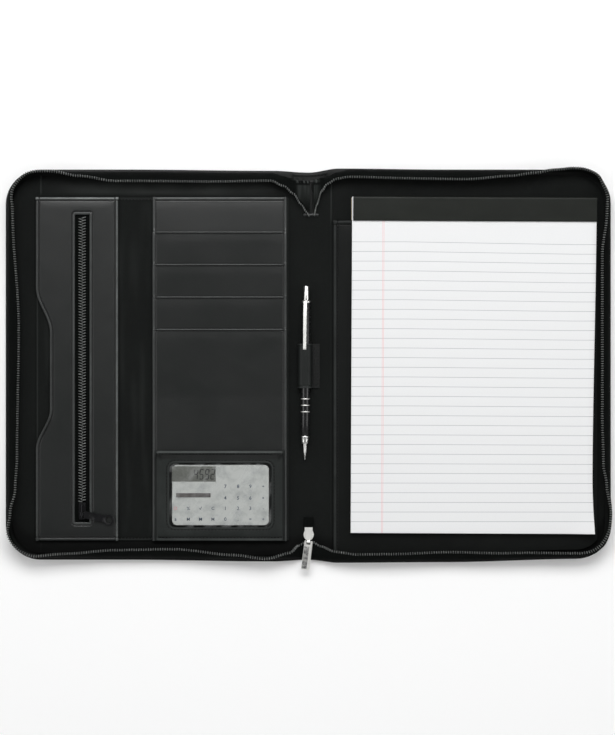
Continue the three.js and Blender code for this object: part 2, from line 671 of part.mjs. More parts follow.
function buildTail(sliderPlace) {
  const head = sliderPlace.y + slider.capHead + gap + tail.length;
  const foot = head - tail.length;
  add('zip_tail', sheet({
    left: zip.footMouth - tail.width / 2,
    right: zip.footMouth + tail.width / 2,
    foot,
    head,
    floor: (x, y) => liningTop + gap + tail.rise * (1 - smooth(foot, head, y)),
    thickness: tail.thickness,
    columns: evenly(3),
    rows: evenly(5),
  }), 'zip');
}

// Left half

function buildLeftPanels() {
  add('pocket_backing', sheet({
    left: panelLeft,
    right: panelLeft + cardPanel.fromLeft + cardPanel.width + backing.margin,
    foot: panelFoot,
    head: panelHead,
    floor: backingFloor,
    thickness: backing.thickness,
    columns: evenly(4),
    rows: evenly(4),
  }), 'lining');

  const thumb = (v) => {
    const down = panelLength * (1 - v);
    return documentPanel.thumbDepth
      * smooth(documentPanel.thumbHeadStart, documentPanel.thumbHeadEnd, down)
      * (1 - smooth(documentPanel.thumbFootStart, documentPanel.thumbFootEnd, down));
  };
  const panelRight = panelLeft + documentPanel.width;
  const rise = (x, y) => {
    const margin = Math.min(y - panelFoot, panelHead - y, panelRight - x);
    return documentPanel.rise * smooth(0, documentPanel.riseMargin, margin);
  };
  const panel = sheet({
    left: (v) => panelLeft + thumb(v),
    right: panelRight,
    foot: panelFoot,
    head: panelHead,
    floor: (x, y) => panelFloor + rise(x, y),
    thickness: documentPanel.thickness,
    columns: shares(documentPanel.width, documentPanel.riseMargin, 3),
    rows: shares(panelLength, documentPanel.riseMargin, 26),
  });
  const slotX = panelLeft + pocketZip.fromLeft;
  const slotHead = panelHead - pocketZip.fromHead;
  const slot = box(
    pocketZip.slotWidth, slotLength, cutDepth,
    slotX, slotHead - slotLength / 2, panelFloor,
  );
  add('document_panel', cut(panel, slot), 'leather');

  add('pocket_zip_tape', box(
    pocketZip.tapeWidth, slotLength + 2 * pocketZip.tapeOverlap, pocketZip.tapeThickness,
    slotX, slotHead - slotLength / 2, panelFloor + pocketZip.tapeThickness / 2,
  ), 'zip');

  const coilFloor = panelFloor + pocketZip.tapeThickness + gap;
  const coilHead = slotHead - pocketZip.coilHeadRoom;
  const coil = new THREE.CylinderGeometry(0.5, 0.5, coilLength, 8)
    .rotateY(Math.PI / 8).scale(pocketZip.coilWidth, 1, pocketZip.coilHeight);
  add('pocket_zip_coil', coil, 'zip').position.set(
    slotX, coilHead - coilLength / 2, coilFloor + pocketZip.coilHeight / 2,
  );
  return new THREE.Vector3(slotX, coilHead - coilLength - gap - pocketSlider.length / 2, coilFloor);
}

function buildPocketSlider(place) {
  const barZ = pocketSlider.height + pocketSlider.barRise;
  const barLength = pocketSlider.headPost + pocketSlider.footPost;
  const post = (y) => box(
    2 * pocketSlider.barRadius, pocketSlider.postLength, barZ, 0, y, barZ / 2 + pocketSlider.bury,
  );
  const half = pocketSlider.width / 2;
  const outline = new THREE.Shape([
    new THREE.Vector2(-half, -pocketSlider.shoulder * pocketSlider.length),
    new THREE.Vector2(-pocketSlider.footShare * half, -pocketSlider.length / 2),
    new THREE.Vector2(pocketSlider.footShare * half, -pocketSlider.length / 2),
    new THREE.Vector2(half, -pocketSlider.shoulder * pocketSlider.length),
    new THREE.Vector2(pocketSlider.headShare * half, pocketSlider.length / 2),
    new THREE.Vector2(-pocketSlider.headShare * half, pocketSlider.length / 2),
  ]);
  const body = join(
    plate(outline, 0, pocketSlider.height, { rounding: pocketSlider.rounding }),
    post(pocketSlider.headPost), post(-pocketSlider.footPost),
    rod('y', pocketSlider.barRadius, barLength, 10)
      .translate(0, (pocketSlider.headPost - pocketSlider.footPost) / 2, barZ),
  );
  add('pocket_slider', body, 'gunmetal').position.copy(place);
  return place.clone().add(new THREE.Vector3(0, -pocketPull.fromSliderMiddle, barZ));
}

function buildPocketPull(pin) {
  const yaw = THREE.MathUtils.degToRad(pocketPull.yaw);
  const along = new THREE.Vector2(Math.cos(yaw), Math.sin(yaw));
  const beside = new THREE.Vector2(-along.y, along.x);
  const at = (distance, sideways) => new THREE.Vector2(
    along.x * distance + beside.x * sideways, along.y * distance + beside.y * sideways,
  );
  const half = pocketPull.width / 2;
  const ringAt = pocketPull.length;
  const strip = new THREE.Shape([
    new THREE.Vector2(pocketPull.neckStart, -pocketPull.knuckleLength / 2),
    at(pocketPull.neckLength, -half), at(ringAt, -half), at(ringAt, half), at(pocketPull.neckLength, half),
    new THREE.Vector2(pocketPull.neckStart, pocketPull.knuckleLength / 2),
  ]);
  const centre = at(ringAt, 0);
  const disc = new THREE.Shape().absarc(centre.x, centre.y, pocketPull.ringRadius, 0, 2 * Math.PI);
  const hole = new THREE.Shape().absarc(centre.x, centre.y, pocketPull.ringHole, 0, 2 * Math.PI);
  const level = -pocketPull.thickness / 2;
  const knuckle = rod('y', pocketPull.knuckleRadius, pocketPull.knuckleLength, 16);
  const solid = cut(
    join(
      plate(strip, level, pocketPull.thickness),
      plate(disc, level - pocketPull.ringExtra / 2, pocketPull.thickness + pocketPull.ringExtra, {
        curveSegments: 10,
      }),
      knuckle,
    ),
    plate(hole, -cutDepth / 2, cutDepth, { curveSegments: 8 }),
    rod('y', pocketPull.knuckleHole, 2 * pocketPull.knuckleLength, 12),
  );
  const mesh = add('pocket_pull', solid, 'gunmetal');
  mesh.position.copy(pin);
  mesh.rotation.y = THREE.MathUtils.degToRad(pocketPull.droop);
}

function buildCardPockets() {
  const left = panelLeft + cardPanel.fromLeft;
  const right = left + cardPanel.width;
  add('card_panel', sheet({
    left, right, foot: panelFoot, head: panelHead,
    floor: panelFloor, thickness: cardPanel.thickness, columns: evenly(2), rows: evenly(4),
  }), 'leather');

  const frontFloor = panelFloor + cardPanel.thickness + gap;
  for (let k = 0; k < cardPockets.count; k += 1) {
    const head = panelHead - cardPockets.firstLip - k * cardPockets.pitch;
    const isLast = k === cardPockets.count - 1;
    const foot = isLast ? panelFoot : head - cardPockets.pitch - cardPockets.overlap;
    const slope = isLast ? cardPockets.lastRiseLength : head - foot;
    add(`card_pocket_${k + 1}`, sheet({
      left, right, foot, head,
      floor: (x, y) => frontFloor + cardPockets.lipRise * Math.max(1 - (head - y) / slope, 0),
      thickness: cardPockets.thickness,
      columns: evenly(3),
      rows: isLast ? [0, 0.34, 0.68, 0.84, 1] : evenly(2),
    }), 'leather');
  }
  return { left, right, floor: frontFloor + cardPockets.thickness + gap };
}

function buildCalculator({ left, right, floor }) {
  const lip = panelFoot + calculatorPocket.height;
  const windowLeft = left + calculatorPocket.windowLeft;
  const windowHead = lip - calculatorPocket.windowTop;
  const windowFoot = windowHead - calculatorPocket.windowHeight;
  const middleX = windowLeft + calculatorPocket.windowWidth / 2;
  const middleY = windowHead - calculatorPocket.windowHeight / 2;
  const cardLeft = middleX - calculator.width / 2;
  const cardHead = middleY + calculator.height / 2;
  const card = roundedRectangle(
    cardLeft, cardHead - calculator.height, calculator.width, calculator.height, calculator.cornerRadius,
  );
  const recess = (x, head, sizeX, sizeY, radius) => plate(
    roundedRectangle(x, head - sizeY, sizeX, sizeY, radius),
    floor + calculator.thickness - calculator.recess, 2 * calculator.recess, { curveSegments: 3 },
  );
  add('calculator', cut(
    plate(card, floor, calculator.thickness, { rounding: calculator.rounding }),
    recess(
      cardLeft + calculator.displayInset, cardHead - calculator.displayInset,
      calculator.displayWidth, calculator.displayHeight, calculator.displayRadius,
    ),
    recess(
      cardLeft + calculator.cellLeft, cardHead - calculator.cellTop,
      calculator.cellWidth, calculator.cellHeight, 0.45 * calculator.cellHeight,
    ),
  ), 'casing');

  const filmFloor = floor + calculator.thickness + gap;
  add('window_film', plate(roundedRectangle(
    windowLeft - film.tuck, windowFoot - film.tuck,
    calculatorPocket.windowWidth + 2 * film.tuck, calculatorPocket.windowHeight + 2 * film.tuck, film.tuck,
  ), filmFloor, film.thickness), 'clear');

  const frameRise = filmFloor + film.thickness + gap - floor;
  const frame = sheet({
    left, right, foot: panelFoot, head: lip,
    floor: (x, y) => {
      const seams = smooth(0, calculatorPocket.slope, Math.min(x - left, right - x, y - panelFoot));
      const lipEase = calculatorPocket.lipShare
        + (1 - calculatorPocket.lipShare) * smooth(0, calculatorPocket.windowTop - film.tuck, lip - y);
      return floor + frameRise * seams * lipEase;
    },
    thickness: calculatorPocket.thickness,
    columns: shares(right - left, calculatorPocket.slope, 6),
    rows: shares(lip - panelFoot, calculatorPocket.windowTop - film.tuck, 4),
  });
  const opening = plate(roundedRectangle(
    windowLeft, windowFoot, calculatorPocket.windowWidth, calculatorPocket.windowHeight,
    calculatorPocket.windowRadius,
  ), floor - cutDepth / 2, cutDepth);
  add('calculator_pocket', cut(frame, opening), 'leather');
}

// Spine

// Upper half of a rounded box, from its right foot over to its left.
function loopArch(halfWidth, height) {
  return evenly(14).map((share) => {
    const angle = Math.PI * share;
    const power = 2 / penLoop.roundness;
    const x = halfWidth * Math.sign(Math.cos(angle)) * Math.abs(Math.cos(angle)) ** power;
    return new THREE.Vector2(x, height * Math.abs(Math.sin(angle)) ** power);
  });
}

function buildPenLoop() {
  const left = spineLeft + penLoop.fromSpineLeft;
  const head = headEdge - penLoop.fromHead;
  const inside = 2 * (pen.radius + gap);
  const outer = loopArch(penLoop.width / 2, inside + 2 * penLoop.wall);
  const band = new THREE.Shape([
    new THREE.Vector2(penLoop.baseWidth - penLoop.width / 2, 0),
    new THREE.Vector2(penLoop.baseWidth - penLoop.width / 2, penLoop.wall),
    ...outer.filter((p) => p.y > penLoop.wall),
    new THREE.Vector2(-penLoop.width / 2, 0),
  ]);
  band.holes.push(new THREE.Path(
    loopArch(penLoop.width / 2 - penLoop.wall, inside).map((p) => p.add(new THREE.Vector2(0, penLoop.wall))),
  ));
  const mesh = add('pen_loop', plate(band, 0, penLoop.length), 'leather');
  mesh.rotation.x = Math.PI / 2;
  mesh.position.set(left + penLoop.width / 2, head, liningTop + gap);
  return { head, axisZ: liningTop + gap + penLoop.wall + inside / 2 };
}

// Turned piece of the pen from distances down its length and radii.
function turned(name, profile, finish, parent, sides = 12) {
  const points = profile.map(([down, radius]) => new THREE.Vector2(radius, -down));
  add(name, new THREE.LatheGeometry(points.reverse(), sides), finish, parent);
}

function buildPen({ head, axisZ }) {
  const group = new THREE.Group();
  group.position.set(spineLeft + pen.fromSpineLeft, head + pen.fromLoopTop, axisZ);
  group.rotation.set(0, THREE.MathUtils.degToRad(pen.roll), THREE.MathUtils.degToRad(pen.lean), 'ZYX');
  caseGroup.add(group);

  const collarAt = pen.clickerLength;
  const barrelAt = collarAt + pen.collarLength;
  const tipAt = barrelAt + pen.barrelLength;
  turned('pen_clicker', [
    [0, 0], [0, pen.clickerRadius - pen.clickerRounding], [pen.clickerRounding, pen.clickerRadius],
    [collarAt - gap, pen.clickerRadius], [collarAt - gap, 0],
  ], 'nickel', group);
  turned('pen_collar', [
    [collarAt, 0], [collarAt, pen.collarRadius - pen.collarRounding],
    [collarAt + pen.collarRounding, pen.collarRadius], [collarAt + pen.collarFlare, pen.collarRadius],
    [barrelAt - gap, pen.radius], [barrelAt - gap, 0],
  ], 'nickel', group);

  const rings = Array.from({ length: pen.ringCount }, (_, k) => pen.firstRing + k * pen.ringPitch);
  const groove = pen.radius - pen.ringGroove;
  const grooves = rings.flatMap((at) => [
    [barrelAt + at - gap, pen.radius], [barrelAt + at - gap, groove],
    [barrelAt + at + pen.ringLength + gap, groove], [barrelAt + at + pen.ringLength + gap, pen.radius],
  ]);
  turned('pen_barrel', [
    [barrelAt, 0], [barrelAt, pen.radius], ...grooves, [tipAt - gap, pen.radius], [tipAt - gap, 0],
  ], 'enamel', group);
  rings.forEach((at, k) => turned(`pen_ring_${k + 1}`, [
    [barrelAt + at, groove + gap], [barrelAt + at, pen.ringRadius],
    [barrelAt + at + pen.ringLength, pen.ringRadius], [barrelAt + at + pen.ringLength, groove + gap],
    [barrelAt + at, groove + gap],
  ], 'nickel', group));
  turned('pen_tip', [
    [tipAt, 0], [tipAt, pen.tipRadius], [tipAt + pen.tipRim, pen.tipRadius],
    [tipAt + pen.tipLength, pen.tipNeck],
    [tipAt + pen.tipLength, pen.nibRadius], [tipAt + pen.tipLength + pen.nibLength / 2, 0.8 * pen.nibRadius],
    [tipAt + pen.tipLength + pen.nibLength, pen.pointRadius], [tipAt + pen.tipLength + pen.nibLength, 0],
  ], 'nickel', group);

  const clipLow = pen.collarRadius + gap;
  const clipHigh = pen.radius + gap + penLoop.wall + gap;
  const clipAt = collarAt + pen.clipStart;
  const side = new THREE.Shape([
    new THREE.Vector2(-clipAt, clipLow), new THREE.Vector2(-clipAt, clipLow + pen.clipThickness),
    new THREE.Vector2(-clipAt - pen.clipRun, clipHigh + pen.clipThickness),
    new THREE.Vector2(-clipAt - pen.clipLength, clipHigh + pen.clipThickness),
    new THREE.Vector2(-clipAt - pen.clipLength, clipHigh),
    new THREE.Vector2(-clipAt - pen.clipRun, clipHigh),
  ]);
  const clip = plate(side, -pen.clipWidth / 2, pen.clipWidth, { rounding: pen.clipRounding });
  clip.applyMatrix4(new THREE.Matrix4().makeBasis(
    new THREE.Vector3(0, 1, 0), new THREE.Vector3(0, 0, 1), new THREE.Vector3(1, 0, 0),
  ));
  add('pen_clip', clip, 'nickel', group);
}

// Right half

function buildWritingPad() {
  const left = spineRight + pad.fromSpine;
  const right = left + pad.width;
  const head = headEdge - pad.fromHead;
  const foot = head - pad.height;
  const boardFloor = liningTop + gap;
  add('pad_board', box(
    pad.width, pad.height, pad.boardThickness,
    left + pad.width / 2, head - pad.height / 2, boardFloor + pad.boardThickness / 2,
  ), 'board');

  const pocketFloor = boardFloor + pad.boardThickness + gap;
  add('pad_pocket', sheet({
    left: spineRight + padPocket.fromSpine,
    right: rightEdge - padPocket.right,
    foot: (x) => edgeAt('foot', x, padPocket.foot),
    head: headEdge - padPocket.head,
    floor: pocketFloor,
    thickness: padPocket.thickness,
    columns: evenly(12),
    rows: evenly(3),
  }), 'leather');

  const paperFloor = pocketFloor + padPocket.thickness + gap;
  const curl = (x, y) => pad.curlHeight * smooth(0, pad.curlReach, pad.curlReach - (right - x) - (y - foot)) ** 2;
  add('pad_paper', sheet({
    left, right, foot, head,
    floor: paperFloor,
    thickness: (x, y) => pad.paperThickness + curl(x, y),
    columns: [0, 0.5, ...evenly(6).map((s) => 1 - (pad.curlReach / pad.width) * (1 - s))],
    rows: [...evenly(6).map((s) => (pad.curlReach / pad.height) * s), 0.5, 1],
  }), 'paper');

  const bandFloor = paperFloor + pad.paperThickness + gap;
  const flapDrop = bandFloor - boardFloor;
  const reach = pad.headbandDepth;
  const profile = new THREE.Shape([
    new THREE.Vector2(-reach, 0), new THREE.Vector2(gap, 0), new THREE.Vector2(gap, -flapDrop),
    new THREE.Vector2(gap + pad.headbandThickness, -flapDrop),
    new THREE.Vector2(gap + pad.headbandThickness, 0.7 * pad.headbandThickness),
    new THREE.Vector2(gap + 0.6 * pad.headbandThickness, pad.headbandThickness),
    new THREE.Vector2(-reach, pad.headbandThickness),
  ]);
  const band = plate(profile, 0, pad.width);
  band.applyMatrix4(new THREE.Matrix4().makeBasis(
    new THREE.Vector3(0, 1, 0), new THREE.Vector3(0, 0, 1), new THREE.Vector3(1, 0, 0),
  ));
  add('pad_headband', band, 'leather').position.set(left, head, bandFloor);
}

buildCover();
buildLining();
const coilStart = buildZipHalf('left', leftLean);
buildZipHalf('right', rightLean);
buildSpineBand();
const pin = buildSlider(coilStart.z);
buildPull(pin);
buildTail(new THREE.Vector3(pin.x, pin.y + slider.capTip + slider.eyeOut, 0));
const pocketPin = buildPocketSlider(buildLeftPanels());
buildPocketPull(pocketPin);
buildCalculator(buildCardPockets());
buildPen(buildPenLoop());
buildWritingPad();

export default caseGroup;
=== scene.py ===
"""Looks of a zip-round leather document case that lies open on its back.

Sizes are in millimetres, and each piece is scaled to metres as it becomes an object. X runs across the open
case to the writing pad's side, Y to its head and Z up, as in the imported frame.
"""

import json
import logging
import math
from collections.abc import Callable, Sequence
from dataclasses import dataclass
from enum import Enum

import bmesh
import bpy
from bmesh.types import BMesh
from bpy.types import Node, NodeSocket, NodeTree
from mathutils import Matrix, Vector, noise


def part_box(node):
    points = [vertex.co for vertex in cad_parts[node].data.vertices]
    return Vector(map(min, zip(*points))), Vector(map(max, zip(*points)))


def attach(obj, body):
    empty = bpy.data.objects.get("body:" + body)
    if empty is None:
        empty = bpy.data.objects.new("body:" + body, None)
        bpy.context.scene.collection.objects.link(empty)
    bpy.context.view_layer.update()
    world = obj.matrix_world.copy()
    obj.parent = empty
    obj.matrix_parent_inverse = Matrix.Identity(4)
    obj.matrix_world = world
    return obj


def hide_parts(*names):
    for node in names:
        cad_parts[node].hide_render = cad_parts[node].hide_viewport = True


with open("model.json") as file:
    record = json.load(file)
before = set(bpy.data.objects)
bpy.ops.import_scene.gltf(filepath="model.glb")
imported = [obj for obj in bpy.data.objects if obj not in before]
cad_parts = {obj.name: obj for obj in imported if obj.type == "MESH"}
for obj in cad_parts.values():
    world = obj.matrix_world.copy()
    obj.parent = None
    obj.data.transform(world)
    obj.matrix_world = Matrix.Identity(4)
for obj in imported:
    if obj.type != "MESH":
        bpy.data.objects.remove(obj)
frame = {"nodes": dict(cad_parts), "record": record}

LOG = logging.getLogger("document_case")
# One millimetre in metres, and a full turn in radians
METRES = 0.001
TURN = 6.2832
UP = Vector((0, 0, 1))
Spot = tuple[float, float]
Size = tuple[float, float, float]
Rect = tuple[float, float, float, float]
Colour = tuple[float, float, float, float]
Height = Callable[[float, float], float]
Under = Callable[[Vector], Vector]
Place = Callable[[float, float], Vector]
Rows = Sequence[tuple[float, ...]]


class Body(Enum):
    """Bodies that the modelled pieces ride on."""

    CASE = "case"
    MAIN_PULL = "main_pull"


class Slot(Enum):
    """Material slots of the record."""

    LEATHER = "leather"
    LINING = "lining_cloth"
    TAPE = "zip_tape"
    COIL = "zip_coil"
    NICKEL = "nickel"
    GUNMETAL = "gunmetal"
    ENAMEL = "pen_enamel"
    CALCULATOR = "calculator_case"
    FILM = "clear_film"
    PAPER = "paper"
    BOARD = "cardboard"


class Half(Enum):
    """The two halves of the case, by the side that they open to."""

    LEFT = -1
    RIGHT = 1


class Edge(Enum):
    """Long edges of the open case."""

    HEAD = 1
    FOOT = -1


# Easing and tables


def smooth(start: float, end: float, value: float) -> float:
    """Eased share of the way from start to end.

    Args:
        start: value at which the share is 0.
        end: value at which the share is 1.
        value: value to place between them.

    Returns:
        A share from 0 to 1.
    """
    share = min(max((value - start) / (end - start), 0.0), 1.0)
    return share * share * (3 - 2 * share)


def fading(start: float, end: float, value: float) -> float:
    """1 up to start, eased down to 0 at end."""
    return 1 - smooth(start, end, value)


def arch(share: float) -> float:
    """Height of a half round at a share of its width, 0 outside it."""
    return math.sqrt(max(1 - (2 * share - 1) ** 2, 0.0))


def mix(low: float, high: float, share: float) -> float:
    """Value a share of the way from low to high."""
    return low + (high - low) * share


def eased(rows: Rows, column: int, at: float) -> float:
    """One column of a table, eased from row to row.

    Args:
        rows: table whose first column is the place.
        column: column to read.
        at: place to read it at.

    Returns:
        The column's value there.
    """
    if at <= rows[0][0]:
        return rows[0][column]
    for before, after in zip(rows, rows[1:]):
        if at <= after[0]:
            return mix(before[column], after[column], smooth(before[0], after[0], at))
    return rows[-1][column]


def evenly(count: int) -> list[float]:
    """Shares from 0 to 1 in count equal steps."""
    return [step / count for step in range(count + 1)]


def steps_with_edges(length: float, near: Sequence[float], count: int, start: bool = True,
                     end: bool = True) -> list[float]:
    """Shares of a length that lie close together at its edges.

    Args:
        length: the whole length.
        near: distances from an edge at which there is a step.
        count: number of steps between the last of these distances.
        start: whether the start has the close steps.
        end: whether the end has them.

    Returns:
        Rising shares from 0 to 1.
    """
    low = [distance / length for distance in near] if start else []
    high = [1 - distance / length for distance in reversed(near)] if end else []
    first = low[-1] if low else 0.0
    last = high[0] if high else 1.0
    middle = [mix(first, last, share) for share in evenly(count)]
    return sorted({round(share, 6) for share in [0.0, *low, *middle, *high, 1.0]})


# Mesh helpers


def laid(columns: Sequence[float], rows: Sequence[float], place: Place, flat: Spot = (1.0, 1.0),
         closed: bool = False) -> BMesh:
    """Grid whose corners are moved to their places, with its flat size kept in its UV map.

    Args:
        columns: shares across the grid.
        rows: shares along it.
        place: gives the point of a share across and a share along.
        flat: flat width and length in millimetres, for the UV map.
        closed: whether the last column is joined to the first.

    Returns:
        The grid.
    """
    sheet = bmesh.new()
    across, along = len(columns) - 1, len(rows) - 1
    bmesh.ops.create_grid(sheet, x_segments=across, y_segments=along, size=0.5)
    shares = {
        vert: (columns[round((vert.co.x + 0.5) * across)], rows[round((vert.co.y + 0.5) * along)])
        for vert in sheet.verts
    }
    uv = sheet.loops.layers.uv.new("UVMap")
    for face in sheet.faces:
        for loop in face.loops:
            share = shares[loop.vert]
            loop[uv].uv = (share[0] * flat[0] * METRES, share[1] * flat[1] * METRES)
    for vert, share in shares.items():
        vert.co = place(*share)
    if closed:
        bmesh.ops.remove_doubles(sheet, verts=sheet.verts[:], dist=1e-4)
    return sheet


def spread(low: Sequence[float], high: Sequence[float], columns: Sequence[float], rows: Sequence[float],
           top: Height) -> BMesh:
    """Grid over the rectangle between two corners.

    Args:
        low: its left foot corner.
        high: its right head corner.
        columns: shares across the grid.
        rows: shares along it.
        top: gives the level at a place.

    Returns:
        The grid.
    """
    def place(u: float, v: float) -> Vector:
        """Point of the grid."""
        x, y = mix(low[0], high[0], u), mix(low[1], high[1], v)
        return Vector((x, y, top(x, y)))

    return laid(columns, rows, place, (high[0] - low[0], high[1] - low[1]))


def marked(sheet: BMesh, **marks: Height) -> None:
    """Stores numbers at each vertex of a laid sheet, for its finish to read.

    Args:
        sheet: the laid sheet.
        marks: each mark's name and what gives it at a place.
    """
    for name, mark in marks.items():
        layer = sheet.verts.layers.float.new(name)
        for vert in sheet.verts:
            vert[layer] = mark(vert.co.x, vert.co.y)


def pierced(sheet: BMesh, left: float, foot: float, right: float, head: float) -> None:
    """Takes out the faces whose middles lie in a rectangle.

    Args:
        sheet: the sheet.
        left: X of its left edge.
        foot: Y of its foot.
        right: X of its right edge.
        head: Y of its head.
    """
    inside = [
        face for face in sheet.faces
        if left < face.calc_center_median().x < right and foot < face.calc_center_median().y < head
    ]
    bmesh.ops.delete(sheet, geom=inside, context="FACES")


def thickened(sheet: BMesh, under: Under, rounding: float = 0.0, segments: int = 2) -> None:
    """Closes a laid sheet with its underside, and rounds its rim.

    Args:
        sheet: the laid sheet, its upper side.
        under: gives the underside's point below a point of the upper side.
        rounding: size of the rounding of the rim.
        segments: number of faces across that rounding.
    """
    grown = bmesh.ops.extrude_face_region(sheet, geom=sheet.faces[:])["geom"]
    for vert in (part for part in grown if isinstance(part, bmesh.types.BMVert)):
        vert.co = under(vert.co)
    bmesh.ops.recalc_face_normals(sheet, faces=sheet.faces[:])
    if rounding > 0:
        rim = [edge for edge in sheet.edges if len(edge.link_faces) == 2 and edge.calc_face_angle() > 0.9]
        bmesh.ops.bevel(sheet, geom=rim, offset=rounding, offset_type="OFFSET", segments=segments,
                        profile=0.5, affect="EDGES", material=-1, clamp_overlap=True)


def down(depth: float) -> Under:
    """Underside a depth straight below the upper side."""
    return lambda point: Vector((point.x, point.y, point.z - depth))


def flat_under(level: float) -> Under:
    """Underside on one level."""
    return lambda point: Vector((point.x, point.y, level))


def shaped_under(level: Height) -> Under:
    """Underside on a level given for each place."""
    return lambda point: Vector((point.x, point.y, level(point.x, point.y)))


def walled(sheet: BMesh, thickness: float, upward: bool = False) -> None:
    """Gives a laid sheet a thickness, inwards from its faces.

    Args:
        sheet: the laid sheet.
        thickness: thickness of the wall.
        upward: whether its faces are first made to look up.
    """
    bmesh.ops.recalc_face_normals(sheet, faces=sheet.faces[:])
    if upward and sum(face.normal.z * face.calc_area() for face in sheet.faces) < 0:
        bmesh.ops.reverse_faces(sheet, faces=sheet.faces[:])
    bmesh.ops.solidify(sheet, geom=sheet.faces[:], thickness=thickness)
    bmesh.ops.recalc_face_normals(sheet, faces=sheet.faces[:])


def turned(profile: Sequence[Spot], steps: int = 48) -> BMesh:
    """Piece turned about the Y axis, its length running down from Y 0.

    Args:
        profile: distances down the length and radii, closed on the axis or on itself.
        steps: number of steps round.

    Returns:
        The turned piece.
    """
    piece = bmesh.new()
    verts = [piece.verts.new((radius, -along, 0.0)) for along, radius in profile]
    edges = [piece.edges.new(pair) for pair in zip(verts, verts[1:])]
    bmesh.ops.spin(piece, geom=verts + edges, cent=(0, 0, 0), axis=(0, 1, 0), angle=2 * math.pi,
                   steps=steps, use_merge=True, use_normal_flip=False, use_duplicate=False)
    bmesh.ops.remove_doubles(piece, verts=piece.verts[:], dist=1e-4)
    bmesh.ops.recalc_face_normals(piece, faces=piece.faces[:])
    return piece


def block(size: Sequence[float], centre: Sequence[float], rounding: float = 0.0,
          segments: int = 2) -> BMesh:
    """Block with rounded edges.

    Args:
        size: its length in X, Y and Z.
        centre: its middle.
        rounding: size of the rounding of its edges.
        segments: number of faces across that rounding.

    Returns:
        The block.
    """
    piece = bmesh.new()
    bmesh.ops.create_cube(piece, size=1.0, matrix=Matrix.Translation(centre) @ Matrix.Diagonal((*size, 1.0)))
    if rounding > 0:
        bmesh.ops.bevel(piece, geom=piece.edges[:], offset=rounding, offset_type="OFFSET", segments=segments,
                        profile=0.5, affect="EDGES", material=-1)
    return piece


def joined(*parts: BMesh) -> BMesh:
    """One bmesh with the faces of several, which are freed."""
    whole = bmesh.new()
    for part in parts:
        passing = bpy.data.meshes.new("passing")
        part.to_mesh(passing)
        part.free()
        whole.from_mesh(passing)
        bpy.data.meshes.remove(passing)
    return whole


def repeated(unit: BMesh, places: Sequence[Matrix], name: str) -> bpy.types.Mesh:
    """Mesh of one small shape at many places, in metres.

    Args:
        unit: the small shape, which is freed.
        places: one matrix for each of its places.
        name: the mesh's name.

    Returns:
        The mesh.
    """
    unit.verts.ensure_lookup_table()
    corners = [vert.co.copy() for vert in unit.verts]
    faces = [[vert.index for vert in face.verts] for face in unit.faces]
    unit.free()
    points = [tuple(place @ corner * METRES) for place in places for corner in corners]
    count = len(corners)
    shifted = [[index + count * turn for index in face] for turn in range(len(places)) for face in faces]
    mesh = bpy.data.meshes.new(name)
    mesh.from_pydata(points, [], shifted)
    mesh.update()
    return mesh


def standing(centre: Vector, along: Vector) -> Matrix:
    """Place of a small shape whose X lies along a seam and whose Z points up.

    Args:
        centre: its middle.
        along: direction of the seam.

    Returns:
        Its matrix.
    """
    x = along.normalized()
    y = UP.cross(x).normalized()
    z = x.cross(y)
    return Matrix.Translation(centre) @ Matrix((x, y, z)).transposed().to_4x4()


def spaced(points: Sequence[Vector], pitch: float) -> list[tuple[Vector, Vector, int]]:
    """Places along a line of points at an even pitch, the first after half a pitch.

    Args:
        points: the line.
        pitch: distance from one place to the next.

    Returns:
        Each place, the direction of the line there and the number of the point before it.
    """
    places = []
    wanted = pitch / 2
    gone = 0.0
    for number, (here, there) in enumerate(zip(points, points[1:])):
        step = (there - here).length
        while step > 0 and wanted <= gone + step:
            places.append((here.lerp(there, (wanted - gone) / step), (there - here).normalized(), number))
            wanted += pitch
        gone += step
    return places


# Node helpers


